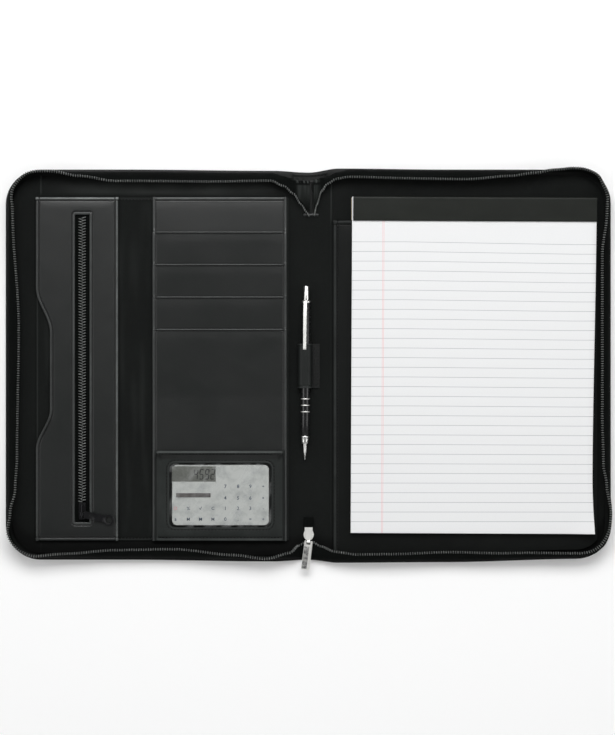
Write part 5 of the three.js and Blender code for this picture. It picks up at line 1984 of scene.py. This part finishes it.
@dataclass
class CalculatorPocket:
    """Leather frame with a stitched window over the calculator, and its clear film."""

    stitches: Stitching
    hem: Hem = Hem(height=0.6, pillow=0.2)
    tuck: float = 2.5
    radius: float = 5.0
    slope: float = 9.0
    lip_share: float = 0.45
    body: float = 0.6
    window_seam: float = 2.3

    def __post_init__(self) -> None:
        """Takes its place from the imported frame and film."""
        low, high = box_of("calculator_pocket")
        self.low, self.high = low, high
        film_low, film_high = box_of("window_film")
        self.left, self.foot = film_low.x + self.tuck, film_low.y + self.tuck
        self.right, self.head = film_high.x - self.tuck, film_high.y - self.tuck
        self.film_low, self.film_high = film_low, film_high
        self.rise = film_high.z + 0.3 - low.z

    def from_window(self, x: float, y: float) -> float:
        """Distance outside the rounded window.

        Args:
            x: place across the case.
            y: place along it.

        Returns:
            The distance, negative inside.
        """
        off_x = abs(x - (self.left + self.right) / 2) - (self.right - self.left) / 2 + self.radius
        off_y = abs(y - (self.foot + self.head) / 2) - (self.head - self.foot) / 2 + self.radius
        return math.hypot(max(off_x, 0), max(off_y, 0)) + min(max(off_x, off_y), 0) - self.radius

    def under(self, x: float, y: float) -> float:
        """Underside of the frame, down at its seams and up over the calculator.

        Args:
            x: place across the case.
            y: place along it.

        Returns:
            The level there.
        """
        margin = min(x - self.low.x, self.high.x - x, y - self.low.y)
        lip = mix(self.lip_share, 1, smooth(0, self.high.y - self.head - self.tuck, self.high.y - y))
        return self.low.z + self.rise * smooth(0, self.slope, margin) * lip

    def top(self, x: float, y: float) -> float:
        """Upper side with its hems and the pressed window edge.

        Args:
            x: place across the case.
            y: place along it.

        Returns:
            The level there.
        """
        far = max(self.from_window(x, y), 0.0)
        edge = 0.3 * arch(far / 1.6)
        seam = 0.26 * fading(0, 0.5, abs(far - self.window_seam))
        hems = self.hem.level(self.high.y - y, y - self.low.y)
        return self.under(x, y) + self.body + hems + edge - seam + creased(x, y, 0.1)

    def rub(self, x: float, y: float) -> float:
        """Painted highlights on the lip, the foot and the window edge.

        Args:
            x: place across the case.
            y: place along it.

        Returns:
            How much painted highlight it gets there, from 0 to 1.
        """
        far = self.from_window(x, y)
        return max(0.4 * self.hem.rub(self.high.y - y), 0.25 * self.hem.rub(y - self.low.y),
                   0.05 * fading(0.2, 0.9, abs(far - 0.9)))

    def press(self, x: float, y: float) -> float:
        """Painted shade in the seams of the hems, the sides and the window, and on the slope between the
        window and the lip.

        Args:
            x: place across the case.
            y: place along it.

        Returns:
            How much painted shade it gets there, from 0 to 1.
        """
        side = min(x - self.low.x, self.high.x - x)
        # Painted shade on the slope between the window and the lip's seam.
        shade = 0.85 * smooth(self.head + 2.5, self.head + 4.5, y) * smooth(2.6, 3.2, self.high.y - y)
        hems = self.hem.press(self.high.y - y, y - self.low.y)
        window = fading(0.1, 0.6, abs(self.from_window(x, y) - self.window_seam))
        return 0.95 * max(hems, fading(0.1, 0.6, abs(side - 3.3)), window, shade)

    def rings(self, steps: int = 8, side_steps: int = 26) -> list[tuple[Vector, Vector]]:
        """Points round the window, each with the point of the frame's outer edge that it is joined to.

        Args:
            steps: number of steps round a corner.
            side_steps: number of steps along a side.

        Returns:
            The pairs, the last one on the first.
        """
        left, right = self.low.x + 2.5, self.high.x - 2.5
        foot, head = self.low.y, self.high.y
        spots = []

        def side(before: tuple[Vector, Vector], after: tuple[Vector, Vector]) -> list[tuple[Vector, Vector]]:
            """Pairs along a straight side, the last one on its end."""
            return [(before[0].lerp(after[0], share), before[1].lerp(after[1], share))
                    for share in evenly(side_steps)[1:]]

        corners = [
            ((self.right - self.radius, self.foot + self.radius), -90, (right, foot)),
            ((self.right - self.radius, self.head - self.radius), 0, (right, head)),
            ((self.left + self.radius, self.head - self.radius), 90, (left, head)),
            ((self.left + self.radius, self.foot + self.radius), 180, (left, foot)),
        ]
        for (cx, cy), start, (ox, oy) in corners:
            arc = []
            for share in evenly(steps):
                angle = math.radians(start + 90 * share)
                inner = Vector((cx + self.radius * math.cos(angle), cy + self.radius * math.sin(angle), 0))
                first, second = Vector((inner.x, oy, 0)), Vector((ox, inner.y, 0))
                if start not in (-90, 90):
                    first, second = second, first
                corner = Vector((ox, oy, 0))
                outer = first.lerp(corner, smooth(0, 0.5, share)) if share <= 0.5 else (
                    corner.lerp(second, smooth(0.5, 1, share)))
                arc.append((inner, outer))
            if spots:
                spots += side(spots[-1], arc[0])[:-1]
            spots += arc
        return spots + side(spots[-1], spots[0])

    def film_top(self, x: float, y: float) -> float:
        """Upper side of the film, slack inside the window.

        Args:
            x: place across the case.
            y: place along it.

        Returns:
            The level there.
        """
        inside = smooth(0, 6, -self.from_window(x, y))
        slack = 0.16 * noise.noise(((x + y) / 9, (x - y) / 30, 5.0)) + 0.07 * noise.noise((x / 5, y / 5, 2.0))
        return self.film_low.z + 0.2 + inside * slack

    def sew(self, rim: Sequence[Vector]) -> None:
        """Seams round the window and along both hems.

        Args:
            rim: points round the window, the last on the first.
        """
        around = []
        for here, there in zip(rim, [*rim[1:], rim[1]]):
            along = (there - here).normalized()
            spot = here + Vector((along.y, -along.x, 0)) * self.window_seam
            around.append(Vector((spot.x, spot.y, self.top(spot.x, spot.y) + 0.05)))
        self.stitches.sew(around)
        for y in (self.high.y - self.hem.seam, self.low.y + self.hem.seam):
            self.stitches.run((self.low.x + 3.4, y), (self.high.x - 3.4, y), self.top)

    def build(self) -> None:
        """Makes the frame and the film."""
        spots = self.rings()
        count = len(spots) - 1

        def place(u: float, v: float) -> Vector:
            """Point between the window's edge and the frame's outer edge."""
            inner, outer = spots[round(u * count)]
            spot = inner.lerp(outer, v)
            return Vector((spot.x, spot.y, self.top(spot.x, spot.y)))

        rows = [0, 0.02, 0.05, 0.09, 0.13, 0.16, 0.19, 0.22, 0.26, 0.31, 0.38, 0.46, 0.54, 0.61, 0.67, 0.72,
                0.755, 0.79, 0.82, 0.85, 0.88, 0.91, 0.94, 0.97, 0.985, 1]
        leather = laid(evenly(count), rows, place, (300.0, 12.0), closed=True)
        marked(leather, rub=self.rub, press=self.press)
        thickened(leather, shaped_under(self.under))
        finished(leather, "calculator_frame", LIT_FRAME_LEATHER, replaces=["calculator_pocket"])
        self.sew([inner for inner, _ in spots])
        film = spread(self.film_low, self.film_high, evenly(60), evenly(40), self.film_top)
        thickened(film, down(0.12))
        finished(film, "window_film_sheet", CLEAR_FILM, replaces=["window_film"])


@dataclass
class Calculator:
    """Display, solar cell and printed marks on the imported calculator."""

    columns: tuple[float, ...] = (-117.35, -106.0, -95.2, -84.3, -73.3, -62.0, -51.2, -39.8)
    rows: tuple[float, ...] = (-107.4, -117.6, -126.8, -136.4)
    digit: Spot = (3.7, 9.2)
    digit_pitch: float = 4.95
    bar: float = 0.85
    lean: float = 0.09
    display: Rect = (-120.5, -103.1, -81.9, -89.6)
    shown: str = "4592"
    digits_inset: Spot = (0.7, 1.9)
    cell: Size = (30.4, 3.7, 0.3)
    cell_middle: Spot = (-101.6, -115.0)
    cell_corner: float = 1.7
    keys: tuple[str, ...] = ("    789÷", "    456×", " %√C123-", "±MMM0.=+")
    number_size: float = 4.4
    sign_size: float = 3.9
    first_size: float = 4.2

    def __post_init__(self) -> None:
        """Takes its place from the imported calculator."""
        _, high = box_of("calculator")
        self.level = high.z

    def segments(self, character: str, right: float, foot: float) -> list[BMesh]:
        """Lit bars of one seven-part digit.

        Args:
            character: the digit.
            right: X of its right edge.
            foot: Y of its foot.

        Returns:
            Its bars.
        """
        lit = {"4": "bcfg", "5": "acdfg", "9": "abcdfg", "2": "abdeg"}[character]
        (width, height), bar = self.digit, self.bar
        left, half = right - width, bar / 2
        across, upright = (width - 1.2 * bar, bar), (bar, height / 2 - 1.2 * bar)
        bars = {
            "a": (*across, left + width / 2, foot + height - half),
            "g": (*across, left + width / 2, foot + height / 2),
            "d": (*across, left + width / 2, foot + half),
            "f": (*upright, left + half, foot + 0.75 * height),
            "b": (*upright, right - half, foot + 0.75 * height),
            "e": (*upright, left + half, foot + 0.25 * height),
            "c": (*upright, right - half, foot + 0.25 * height),
        }
        made = [block((*bars[part][:2], 0.04), (*bars[part][2:], self.level + 0.1), 0.015, 1) for part in lit]
        for piece in made:
            for vert in piece.verts:
                vert.co.x += self.lean * (vert.co.y - foot - height / 2)
        return made

    def mark(self, text: str, x: float, y: float, size: float) -> BMesh:
        """One printed character.

        Args:
            text: the character.
            x: X of its middle.
            y: Y of its middle.
            size: its height.

        Returns:
            The character's solid.
        """
        curve = bpy.data.curves.new("mark", "FONT")
        curve.body, curve.size, curve.extrude, curve.offset = text, size, 0.02, 0.06
        curve.align_x, curve.align_y, curve.resolution_u = "CENTER", "CENTER", 2
        writer = bpy.data.objects.new("mark", curve)
        bpy.context.scene.collection.objects.link(writer)
        mesh = bpy.data.meshes.new_from_object(writer.evaluated_get(bpy.context.evaluated_depsgraph_get()))
        piece = bmesh.new()
        piece.from_mesh(mesh)
        bmesh.ops.translate(piece, vec=(x, y, self.level + 0.04), verts=piece.verts[:])
        bpy.data.objects.remove(writer)
        bpy.data.curves.remove(curve)
        bpy.data.meshes.remove(mesh)
        return piece

    def build(self) -> None:
        """Makes the display with its digits, the solar cell and the marks."""
        dressed("calculator", CASING)
        left, low, right, high = self.display
        middle = (left + right) / 2
        glass = block((right - left, high - low, 0.3), (middle, (low + high) / 2, self.level - 0.07), 0.06, 1)
        finished(glass, "calculator_display", DISPLAY)
        rim = block((right - left, 0.8, 0.3), (middle, low - 0.4, self.level - 0.09), 0.06, 1)
        finished(rim, "calculator_display_rim", CASING)
        right -= self.digits_inset[0]
        foot = low + self.digits_inset[1]
        bars = [bar for turn, character in enumerate(reversed(self.shown))
                for bar in self.segments(character, right - turn * self.digit_pitch, foot)]
        finished(joined(*bars), "calculator_digits", INK)
        cell = block(self.cell, (*self.cell_middle, self.level - 0.07), 0.06, 1)
        corners = [edge for edge in cell.edges
                   if abs(edge.verts[0].co.z - edge.verts[1].co.z) > 0.05 and edge.calc_length() > 0.04]
        bmesh.ops.bevel(cell, geom=corners, offset=self.cell_corner, offset_type="OFFSET", segments=5,
                        profile=0.5, affect="EDGES", material=-1, clamp_overlap=True)
        finished(cell, "calculator_cell", SOLAR)
        sizes = {True: self.number_size, False: self.sign_size}
        marks = [self.mark(key, self.columns[column], y, sizes[key.isdigit()])
                 for y, keys in zip(self.rows, self.keys) for column, key in enumerate(keys) if key != " "]
        finished(joined(*marks), "calculator_marks", KEY_INK)
        first = self.mark("O", self.columns[0], self.rows[2], self.first_size)
        finished(first, "calculator_first_mark", RED_INK)


@dataclass
class PenLoop:
    """Leather loop on the spine, with its sewn tab."""

    stitches: Stitching
    half_width: float = 6.65
    tab: float = 6.5
    wall: float = 1.1
    roundness: float = 3.0

    def __post_init__(self) -> None:
        """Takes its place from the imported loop."""
        low, high = box_of("pen_loop")
        self.low, self.high = low, high
        self.middle = low.x + self.half_width

    def outside(self, share: float) -> Spot:
        """X and Z of the outer face, from the tab's end over to the left foot.

        Args:
            share: share of the way over.

        Returns:
            Both.
        """
        height = self.high.z - self.low.z
        if share < 0.2:
            return self.middle + self.half_width + self.tab * (1 - share / 0.2), self.low.z + self.wall
        angle = math.pi * (share - 0.2) / 0.8
        power = 2 / self.roundness
        x = self.half_width * math.copysign(abs(math.cos(angle)) ** power, math.cos(angle))
        least = self.wall if share < 0.25 else 0.05
        return self.middle + x, self.low.z + max(height * math.sin(angle) ** power, least)

    def build(self) -> None:
        """Makes the loop and sews its tab."""
        length = self.high.y - self.low.y

        def place(u: float, v: float) -> Vector:
            """Point of the outer face, with the pressed seams along both edges."""
            x, z = self.outside(u)
            y = mix(self.low.y, self.high.y, v)
            far = min(y - self.low.y, self.high.y - y)
            turned_edge = -0.22 * fading(0, 0.5, abs(far - 2.0))
            grown = 1 + (turned_edge + creased(x * 2, y, 0.08)) / self.half_width
            return Vector((self.middle + (x - self.middle) * grown, y, self.low.z + (z - self.low.z) * grown))

        shares = [*(0.2 * share for share in evenly(8)), *(0.2 + 0.8 * share for share in evenly(44)[1:])]
        rows = steps_with_edges(length, (0.15, 0.5, 1.0, 1.4, 1.7, 2.0, 2.3, 2.6, 3.2), 20)
        loop = laid(shares, rows, place, (34.0, length))
        tab = self.middle + self.half_width
        # The tab beside the loop is painted darker, and painted highlights run along the loop's edges.
        marked(loop, press=lambda x, y: 0.7 * smooth(tab - 0.6, tab, x),
               rub=lambda x, y: 0.12 * fading(0.3, 0.8, min(y - self.low.y, self.high.y - y)))
        walled(loop, self.wall, upward=True)
        finished(loop, "pen_loop_leather", LOOP_LEATHER, sharp=60, replaces=["pen_loop"])
        for x in (tab + 1.6, tab + 5.0):
            start, end = (x, self.low.y + 0.8), (x, self.high.y - 0.8)
            self.stitches.run(start, end, lambda x, y: self.low.z + self.wall, 20, 0.1)


@dataclass
class Pen:
    """Click pen in the loop: plated ends and rings, black enamel barrel, long plated clip."""

    clicker: Rows = ((0, 0), (0, 2.0), (0.12, 2.25), (0.4, 2.45), (12.6, 2.45), (12.6, 0))
    collar: Rows = ((0, 0), (0, 3.4), (0.25, 3.85), (0.7, 4.0), (1.2, 3.95), (1.7, 3.78), (2.1, 3.72),
                    (2.1, 0))
    tip: Rows = ((0, 0), (0, 3.4), (0.3, 3.62), (1.1, 3.62), (1.5, 3.42), (4.0, 3.2), (6.3, 2.95),
                 (6.8, 2.75), (7.0, 1.75), (9, 1.62), (13.5, 1.32), (17.5, 0.85), (18.2, 0.55), (20.6, 0.42),
                 (21.0, 0.3), (21, 0))
    band: Rows = ((0.05, 3.6), (0.05, 3.85), (0.25, 4.0), (0.75, 4.0), (0.95, 3.85), (0.95, 3.6), (0.05, 3.6))
    radius: float = 3.75
    collar_at: float = 12.9
    barrel_at: float = 15.1
    barrel: float = 117.5
    rings: tuple[float, ...] = (84.2, 89.9, 95.6)
    ring: float = 1.0
    clip: Size = (3.1, 0.7, 43.0)
    clip_run: float = 15.0
    clip_levels: Spot = (4.3, 5.45)
    lean: float = -0.5
    roll: float = -10.0
    place: Size = (-1.7, 69.9, 9.75)

    def laid_in(self, piece: BMesh) -> BMesh:
        """Turns a piece of the pen into its place in the loop.

        Args:
            piece: the piece, laid out down the Y axis.

        Returns:
            The same piece.
        """
        matrix = (Matrix.Translation(self.place) @ Matrix.Rotation(math.radians(self.lean), 4, "Z")
                  @ Matrix.Rotation(math.radians(self.roll), 4, "Y"))
        bmesh.ops.transform(piece, matrix=matrix, verts=piece.verts[:])
        return piece

    def build(self) -> None:
        """Makes the pen from its clicker down to its point."""
        barrel, waist = self.barrel_at, self.radius
        tip = barrel + self.barrel
        self.plated("clicker", 0.0, self.clicker)
        self.plated("collar", self.collar_at, self.collar)
        outline = [(barrel, 0), (barrel, waist - 0.15), (barrel + 0.3, waist), (barrel + 60, waist + 0.05)]
        for at in self.rings:
            outline += [(barrel + at - 0.15, waist), (barrel + at, waist - 0.15),
                        (barrel + at + self.ring, waist - 0.15), (barrel + at + self.ring + 0.15, waist)]
        outline += [(tip - 0.6, waist), (tip - 0.3, waist - 0.2), (tip - 0.3, 0)]
        enamel = self.laid_in(turned(outline, 56))
        finished(enamel, "pen_barrel_enamel", PEN_ENAMEL, replaces=["pen_barrel"])
        for number, at in enumerate(self.rings, 1):
            self.plated(f"ring_{number}", barrel + at, self.band, SATIN_NICKEL)
        self.plated("tip", tip, self.tip)
        self.build_clip()

    def plated(self, name: str, start: float, profile: Rows, finish: Metal = NICKEL) -> None:
        """Makes one turned plated piece.

        Args:
            name: its name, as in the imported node's.
            start: its place down the pen.
            profile: distances from there and radii.
            finish: its finish.
        """
        piece = self.laid_in(turned([(start + along, radius) for along, radius in profile], 48))
        finished(piece, f"pen_{name}_plated", finish, sharp=50, replaces=[f"pen_{name}"])

    def build_clip(self) -> None:
        """Makes the clip, which runs from the collar over the loop."""
        width, thickness, length = self.clip
        start = self.collar_at + 0.4

        def place(u: float, v: float) -> Vector:
            """Point of the clip's arched upper side."""
            along = length * v
            level = mix(*self.clip_levels, smooth(0, self.clip_run, along)) + thickness
            level += 0.1 * (1 - (2 * u - 1) ** 2)
            taper = 1 - 0.12 * v
            return Vector((width * (u - 0.5) * taper, -start - along, level))

        clip = laid([0, 0.08, 0.25, 0.5, 0.75, 0.92, 1], evenly(26), place, (width, length))
        thickened(clip, down(thickness), 0.18, 2)
        foot = block((width * 0.9, 1.6, 1.6), (0, -start - 0.8, 3.6), 0.2, 2)
        whole = self.laid_in(joined(clip, foot))
        finished(whole, "pen_clip_plated", SATIN_NICKEL, replaces=["pen_clip"])


@dataclass
class WritingPad:
    """Ruled pad with its headband, in the leather pocket of the right half."""

    stitches: Stitching
    turn: float = 0.27
    curl_height: float = 2.4
    curl_reach: float = 30.0
    edge_lean: float = 2.6
    sheets: float = 5.0
    band: float = 0.9
    band_lift: float = 0.35
    band_reach: float = 21.3
    band_drop: float = 7.4
    band_fold: float = 1.3

    def __post_init__(self) -> None:
        """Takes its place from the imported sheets."""
        self.low, self.high = box_of("pad_paper")

    def turned_spot(self, x: float, y: float, z: float) -> Vector:
        """Point of the pad, which lies a little askew.

        Args:
            x: place across the case.
            y: place along it.
            z: level of the point.

        Returns:
            The point.
        """
        middle = Vector(((self.low.x + self.high.x) / 2, (self.low.y + self.high.y) / 2, 0))
        spot = Matrix.Rotation(math.radians(-self.turn), 3, "Z") @ (Vector((x, y, 0)) - middle) + middle
        return Vector((spot.x, spot.y, z))

    def build(self) -> None:
        """Makes the pocket, the sheets and the headband."""
        self.build_pocket()
        dressed("pad_board", PAD_BOARD)
        low, high = self.low, self.high
        width, length = high.x - low.x, high.y - low.y
        flat_top = low.z + self.sheets

        def place(u: float, v: float) -> Vector:
            """Point of the top sheet, whose foot corner curls up and whose right edge leans in."""
            x, y = mix(low.x, high.x, u), mix(low.y, high.y, v)
            near = self.curl_reach - (high.x - x) - (y - low.y)
            curl = self.curl_height * smooth(0, self.curl_reach, near) ** 2
            wave = 0.12 * noise.noise((x / 70, y / 70, 0)) * fading(0.8, 1, v)
            lean = self.edge_lean * u * u * smooth(high.y, low.y + 50, y) * smooth(low.y - 20, low.y + 50, y)
            return self.turned_spot(x - lean, y, flat_top + curl + wave)

        sheets = laid(evenly(54), evenly(74), place, (width, length))
        thickened(sheets, flat_under(low.z), 0.25, 2)
        finished(sheets, "pad_sheets", PAPER, sharp=50, replaces=["pad_paper"])
        self.build_headband()

    def build_headband(self) -> None:
        """Makes the dark strip folded over the head of the pad."""
        low, high = self.low, self.high
        top = low.z + self.sheets + self.band_lift + self.band - 0.1
        reach, drop, fold = self.band_reach, self.band_drop, self.band_fold
        left, right = low.x + 0.9, high.x + 0.1
        turns = [share * math.pi / 2 for share in evenly(6)[1:]]
        path = [(-reach, 0.0), (-reach + 0.2, 0.05)]
        path += [(mix(-reach + 0.6, -1.2, share), 0.08) for share in evenly(14)]
        path += [(-1.2 + fold * 1.7 * math.sin(turn) * 0.75, 0.08 - fold * (1 - math.cos(turn)))
                 for turn in turns]
        path += [(path[-1][0], mix(path[-1][1], -drop, share)) for share in evenly(4)[1:]]
        count = len(path) - 1

        def place(u: float, v: float) -> Vector:
            """Point of the strip's outer face."""
            along, level = path[round(v * count)]
            x = mix(left, right, u)
            wave = 0.1 * noise.noise((x / 30, along / 9, 2.0)) if level > 0 else 0.0
            return self.turned_spot(x, high.y + along, top + level + wave)

        strip = laid(evenly(50), evenly(count), place, (right - left, reach + drop))
        walled(strip, self.band - 0.25, upward=True)
        finished(strip, "pad_headband_strip", HEADBAND, replaces=["pad_headband"])

    def build_pocket(self) -> None:
        """Makes the leather panel that holds the pad's board."""
        low, high = box_of("pad_pocket")
        hem = Hem(roll=3.0, height=0.45, seam=3.8)

        def foot_at(x: float) -> float:
            """Foot edge, inside the case's outline."""
            return CASE.edge(Edge.FOOT, x, 8.5)

        def top(x: float, y: float) -> float:
            """Upper side of the panel."""
            return low.z + 0.7 + hem.level(high.y - y, x - low.x) + creased(x, y, 0.1)

        def place(u: float, v: float) -> Vector:
            """Point of the panel."""
            x = mix(low.x, high.x, u)
            y = mix(foot_at(x), high.y, v)
            return Vector((x, y, top(x, y)))

        width, length = high.x - low.x, high.y - low.y
        columns = steps_with_edges(width, hem.near, 30, end=False)
        columns = sorted({*columns, *(1 - far / width for far in (0, 0.6, 1.5, 3, 5, 8, 12, 16, 20))})
        panel = laid(columns, steps_with_edges(length, hem.near, 30, start=False), place, (width, length))
        # Painted highlights on the hems' rolls and painted shade in their seams.
        marked(panel, rub=lambda x, y: 0.12 * hem.rub(high.y - y, x - low.x),
               press=lambda x, y: 0.9 * hem.press(high.y - y, x - low.x))
        thickened(panel, flat_under(low.z))
        finished(panel, "pad_pocket_leather", POCKET_LEATHER, replaces=["pad_pocket"])
        x, y = low.x + hem.seam, high.y - hem.seam
        self.stitches.run((low.x + 3.8, y), (high.x - 1, y), top, 90)
        self.stitches.run((x, foot_at(x) + 1), (x, high.y - 3.8), top, 120)


@dataclass
class SpineHead:
    """Turned leather band at the head of the spine, the tongue below it and the tab over the tapes' ends."""

    stitches: Stitching
    band_foot: float = 161.0
    level: float = 4.75
    seams: Spot = (163.6, 168.2)
    seam_level: float = 5.1
    middle: float = 2.4
    tongue: Spot = (134.0, 160.8)
    half_widths: Spot = (2.2, 11.5)
    tab: Size = (13.2, 2.4, 0.9)
    tab_place: Spot = (132.9, 4.85)
    tab_stitches: tuple[Size, Size] = ((-3.5, 132.7, 5.32), (8.3, 132.7, 5.32))

    def build(self) -> None:
        """Makes the band, the tongue and the tab."""
        self.build_band()
        self.build_tongue()
        tab = block(self.tab, (self.middle, *self.tab_place), 0.35, 2)
        finished(tab, "tape_end_tab", PANEL_LEATHER)
        self.stitches.sew([Vector(spot) for spot in self.tab_stitches])

    def build_band(self) -> None:
        """Makes the turned band and sews it."""
        low, high = box_of("spine_band")

        def place(u: float, v: float) -> Vector:
            """Point of the band, gathered between the rolls at its foot and its head."""
            x = mix(low.x - 5, high.x + 2, u)
            y = mix(self.band_foot, CASE.edge(Edge.HEAD, x, 1.4), v)
            wrinkle = 0.42 * noise.noise((x / 2.6 + (y - 166) * 0.12, y / 14, 9.0))
            wrinkle *= smooth(0, 0.2, v) * fading(0.85, 1, v)
            roll = 0.4 * arch(v / 0.3)
            roll += 0.5 * math.sqrt(max(1 - ((1 - v) / 0.14 - 1) ** 2, 0.0))
            return Vector((x, y, self.level + wrinkle + roll))

        leather = laid(evenly(80), evenly(26), place, (29.0, 10.5))
        thickened(leather, shaped_under(lambda x, y: low.z if y > high.y - 5.2 else self.level - 0.4), 0.2, 1)
        finished(leather, "spine_band_leather", COVER_LEATHER, replaces=["spine_band"])
        for y in self.seams:
            self.stitches.run((low.x - 4, y), (high.x + 1.5, y), lambda x, y: self.seam_level, 20, 0.0)

    def build_tongue(self) -> None:
        """Makes the tongue, which narrows towards the tab."""
        def place(u: float, v: float) -> Vector:
            """Point of the tongue, with folds along it."""
            y = mix(*self.tongue, v)
            x = self.middle + mix(-1, 1, u) * mix(*self.half_widths, v)
            fold = 0.25 * math.sin(x * 0.9) + 0.2 * noise.noise((x / 3, y / 20, 6.0))
            return Vector((x, y, self.level + fold * smooth(0, 0.15, v)))

        leather = laid(evenly(50), evenly(20), place, (25.0, 27.0))
        thickened(leather, flat_under(4.34), 0.1, 1)
        finished(leather, "spine_tongue_leather", COVER_LEATHER)


@dataclass
class PullFace:
    """Darker, mottled panel let into the pull tab's upper side, left of its bright edge."""

    yaw: float = -7.1
    droop: float = 6.0
    size: Size = (4.5, 20.2, 0.3)
    middle: Size = (-1.1, -14.4, 0.52)

    def build(self) -> None:
        """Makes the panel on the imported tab."""
        joints = frame["record"]["behaviour"]["joints"]
        hinge = next(joint for joint in joints if joint["name"] == "main_pull_hinge")
        pin = Vector(hinge["pos_m"]) / METRES
        face = block(self.size, self.middle, 0.12, 2)
        matrix = (Matrix.Translation(pin) @ Matrix.Rotation(math.radians(self.yaw), 4, "Z")
                  @ Matrix.Rotation(math.radians(self.droop), 4, "X"))
        bmesh.ops.transform(face, matrix=matrix, verts=face.verts[:])
        finished(face, "zip_pull_face", WORN_NICKEL, body=Body.MAIN_PULL)


@dataclass
class ZipTail:
    """Folded end of the tape above the slider."""

    def build(self) -> None:
        """Makes the folded tape."""
        low, high = box_of("zip_tail")

        def place(u: float, v: float) -> Vector:
            """Point of the tape, which slopes down from the slider."""
            x, y = mix(low.x, high.x, u), mix(low.y, high.y, v)
            hump = 0.35 * arch(u)
            slope = mix(high.z, low.z + 1.5, smooth(0, 1, v)) - 0.35
            return Vector((x, y, slope + hump + 0.1 * noise.noise((x, y, 0))))

        tape = laid(evenly(14), evenly(14), place, (9.0, 8.0))
        thickened(tape, down(1.1), 0.2, 2)
        finished(tape, "zip_tail_cloth", TAPE, replaces=["zip_tail"])


# Studio


@dataclass
class Studio:
    """Pale floor, soft lights and the camera straight above the case, in metres."""

    middle: Spot = (-0.0007, -0.0022)
    distance: float = 1.8
    level: float = 0.008
    seen_height: float = 0.6504
    sensor: float = 36.0
    sky: float = 0.19

    def build(self) -> None:
        """Makes the floor, the lights, the world and the camera."""
        floor = bmesh.new()
        bmesh.ops.create_grid(floor, x_segments=2, y_segments=2, size=6.0)
        mesh = bpy.data.meshes.new("studio_floor")
        floor.to_mesh(mesh)
        floor.free()
        stage = bpy.data.objects.new("studio_floor", mesh)
        bpy.context.scene.collection.objects.link(stage)
        material = bpy.data.materials.new("studio_floor_paint")
        material.use_nodes = True
        nodes = Nodes(material.node_tree)
        nodes.surface(Base_Color=(0.97, 0.97, 0.97, 1.0), Roughness=0.9, Specular_IOR_Level=0.0)
        mesh.materials.append(material)

        self.light("light_head", (0.0, 0.9, 1.3), 1.4, 0.7, 20.0)
        self.light("light_foot", (0.0, -1.7, 1.1), 2.2, 1.0, 9.0)
        self.light("light_left", (-1.6, 0.0, 1.2), 1.6, 1.0, 9.0)
        self.light("light_right", (1.6, 0.0, 1.2), 1.6, 1.0, 9.0)

        world = bpy.data.worlds.new("studio_world")
        bpy.context.scene.world = world
        world.use_nodes = True
        background = world.node_tree.nodes["Background"].inputs
        background["Color"].default_value = (1.0, 1.0, 1.0, 1.0)
        background["Strength"].default_value = self.sky
        bpy.context.scene.view_settings.view_transform = "Standard"
        bpy.context.scene.view_settings.look = "None"

        camera = bpy.data.objects.new("camera", bpy.data.cameras.new("camera"))
        bpy.context.scene.collection.objects.link(camera)
        camera.data.sensor_width = self.sensor
        camera.data.lens = self.sensor * self.distance / self.seen_height
        camera.location = (*self.middle, self.level + self.distance)
        bpy.context.scene.camera = camera

    def light(self, name: str, place: Size, width: float, height: float, power: float) -> None:
        """Adds a soft rectangular light that faces the case.

        Args:
            name: the light's name.
            place: its middle.
            width: its width.
            height: its height.
            power: its power in watts.
        """
        data = bpy.data.lights.new(name, "AREA")
        data.shape = "RECTANGLE"
        data.size = width
        data.size_y = height
        data.energy = power
        lamp = bpy.data.objects.new(name, data)
        bpy.context.scene.collection.objects.link(lamp)
        lamp.location = place
        lamp.rotation_mode = "QUATERNION"
        lamp.rotation_quaternion = (Vector(place) * -1).to_track_quat("-Z", "Y")


def main() -> None:
    """Builds the classes in order."""
    logging.basicConfig(level=logging.INFO, format="%(message)s")
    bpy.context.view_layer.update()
    Studio().build()
    Cover().build()
    Lining().build()
    OpenZip(Half.LEFT, LEFT_LEAN, LEFT_FOOT).build()
    OpenZip(Half.RIGHT, RIGHT_LEAN, RIGHT_FOOT).build()
    for node in ("zip_slider", "zip_pull"):
        dressed(node, SATIN_NICKEL)
    for node in ("pocket_slider", "pocket_pull"):
        dressed(node, GUNMETAL)
    stitches = Stitching("case_stitching")
    SpineHead(stitches).build()
    ZipTail().build()
    PullFace().build()
    PocketBacking(stitches).build()
    DocumentPanel(stitches).build()
    PocketZip().build()
    CardPockets(stitches).build()
    CalculatorPocket(stitches).build()
    Calculator().build()
    PenLoop(stitches).build()
    Pen().build()
    WritingPad(stitches).build()
    stitches.build()


if __name__ == "__main__":
    main()
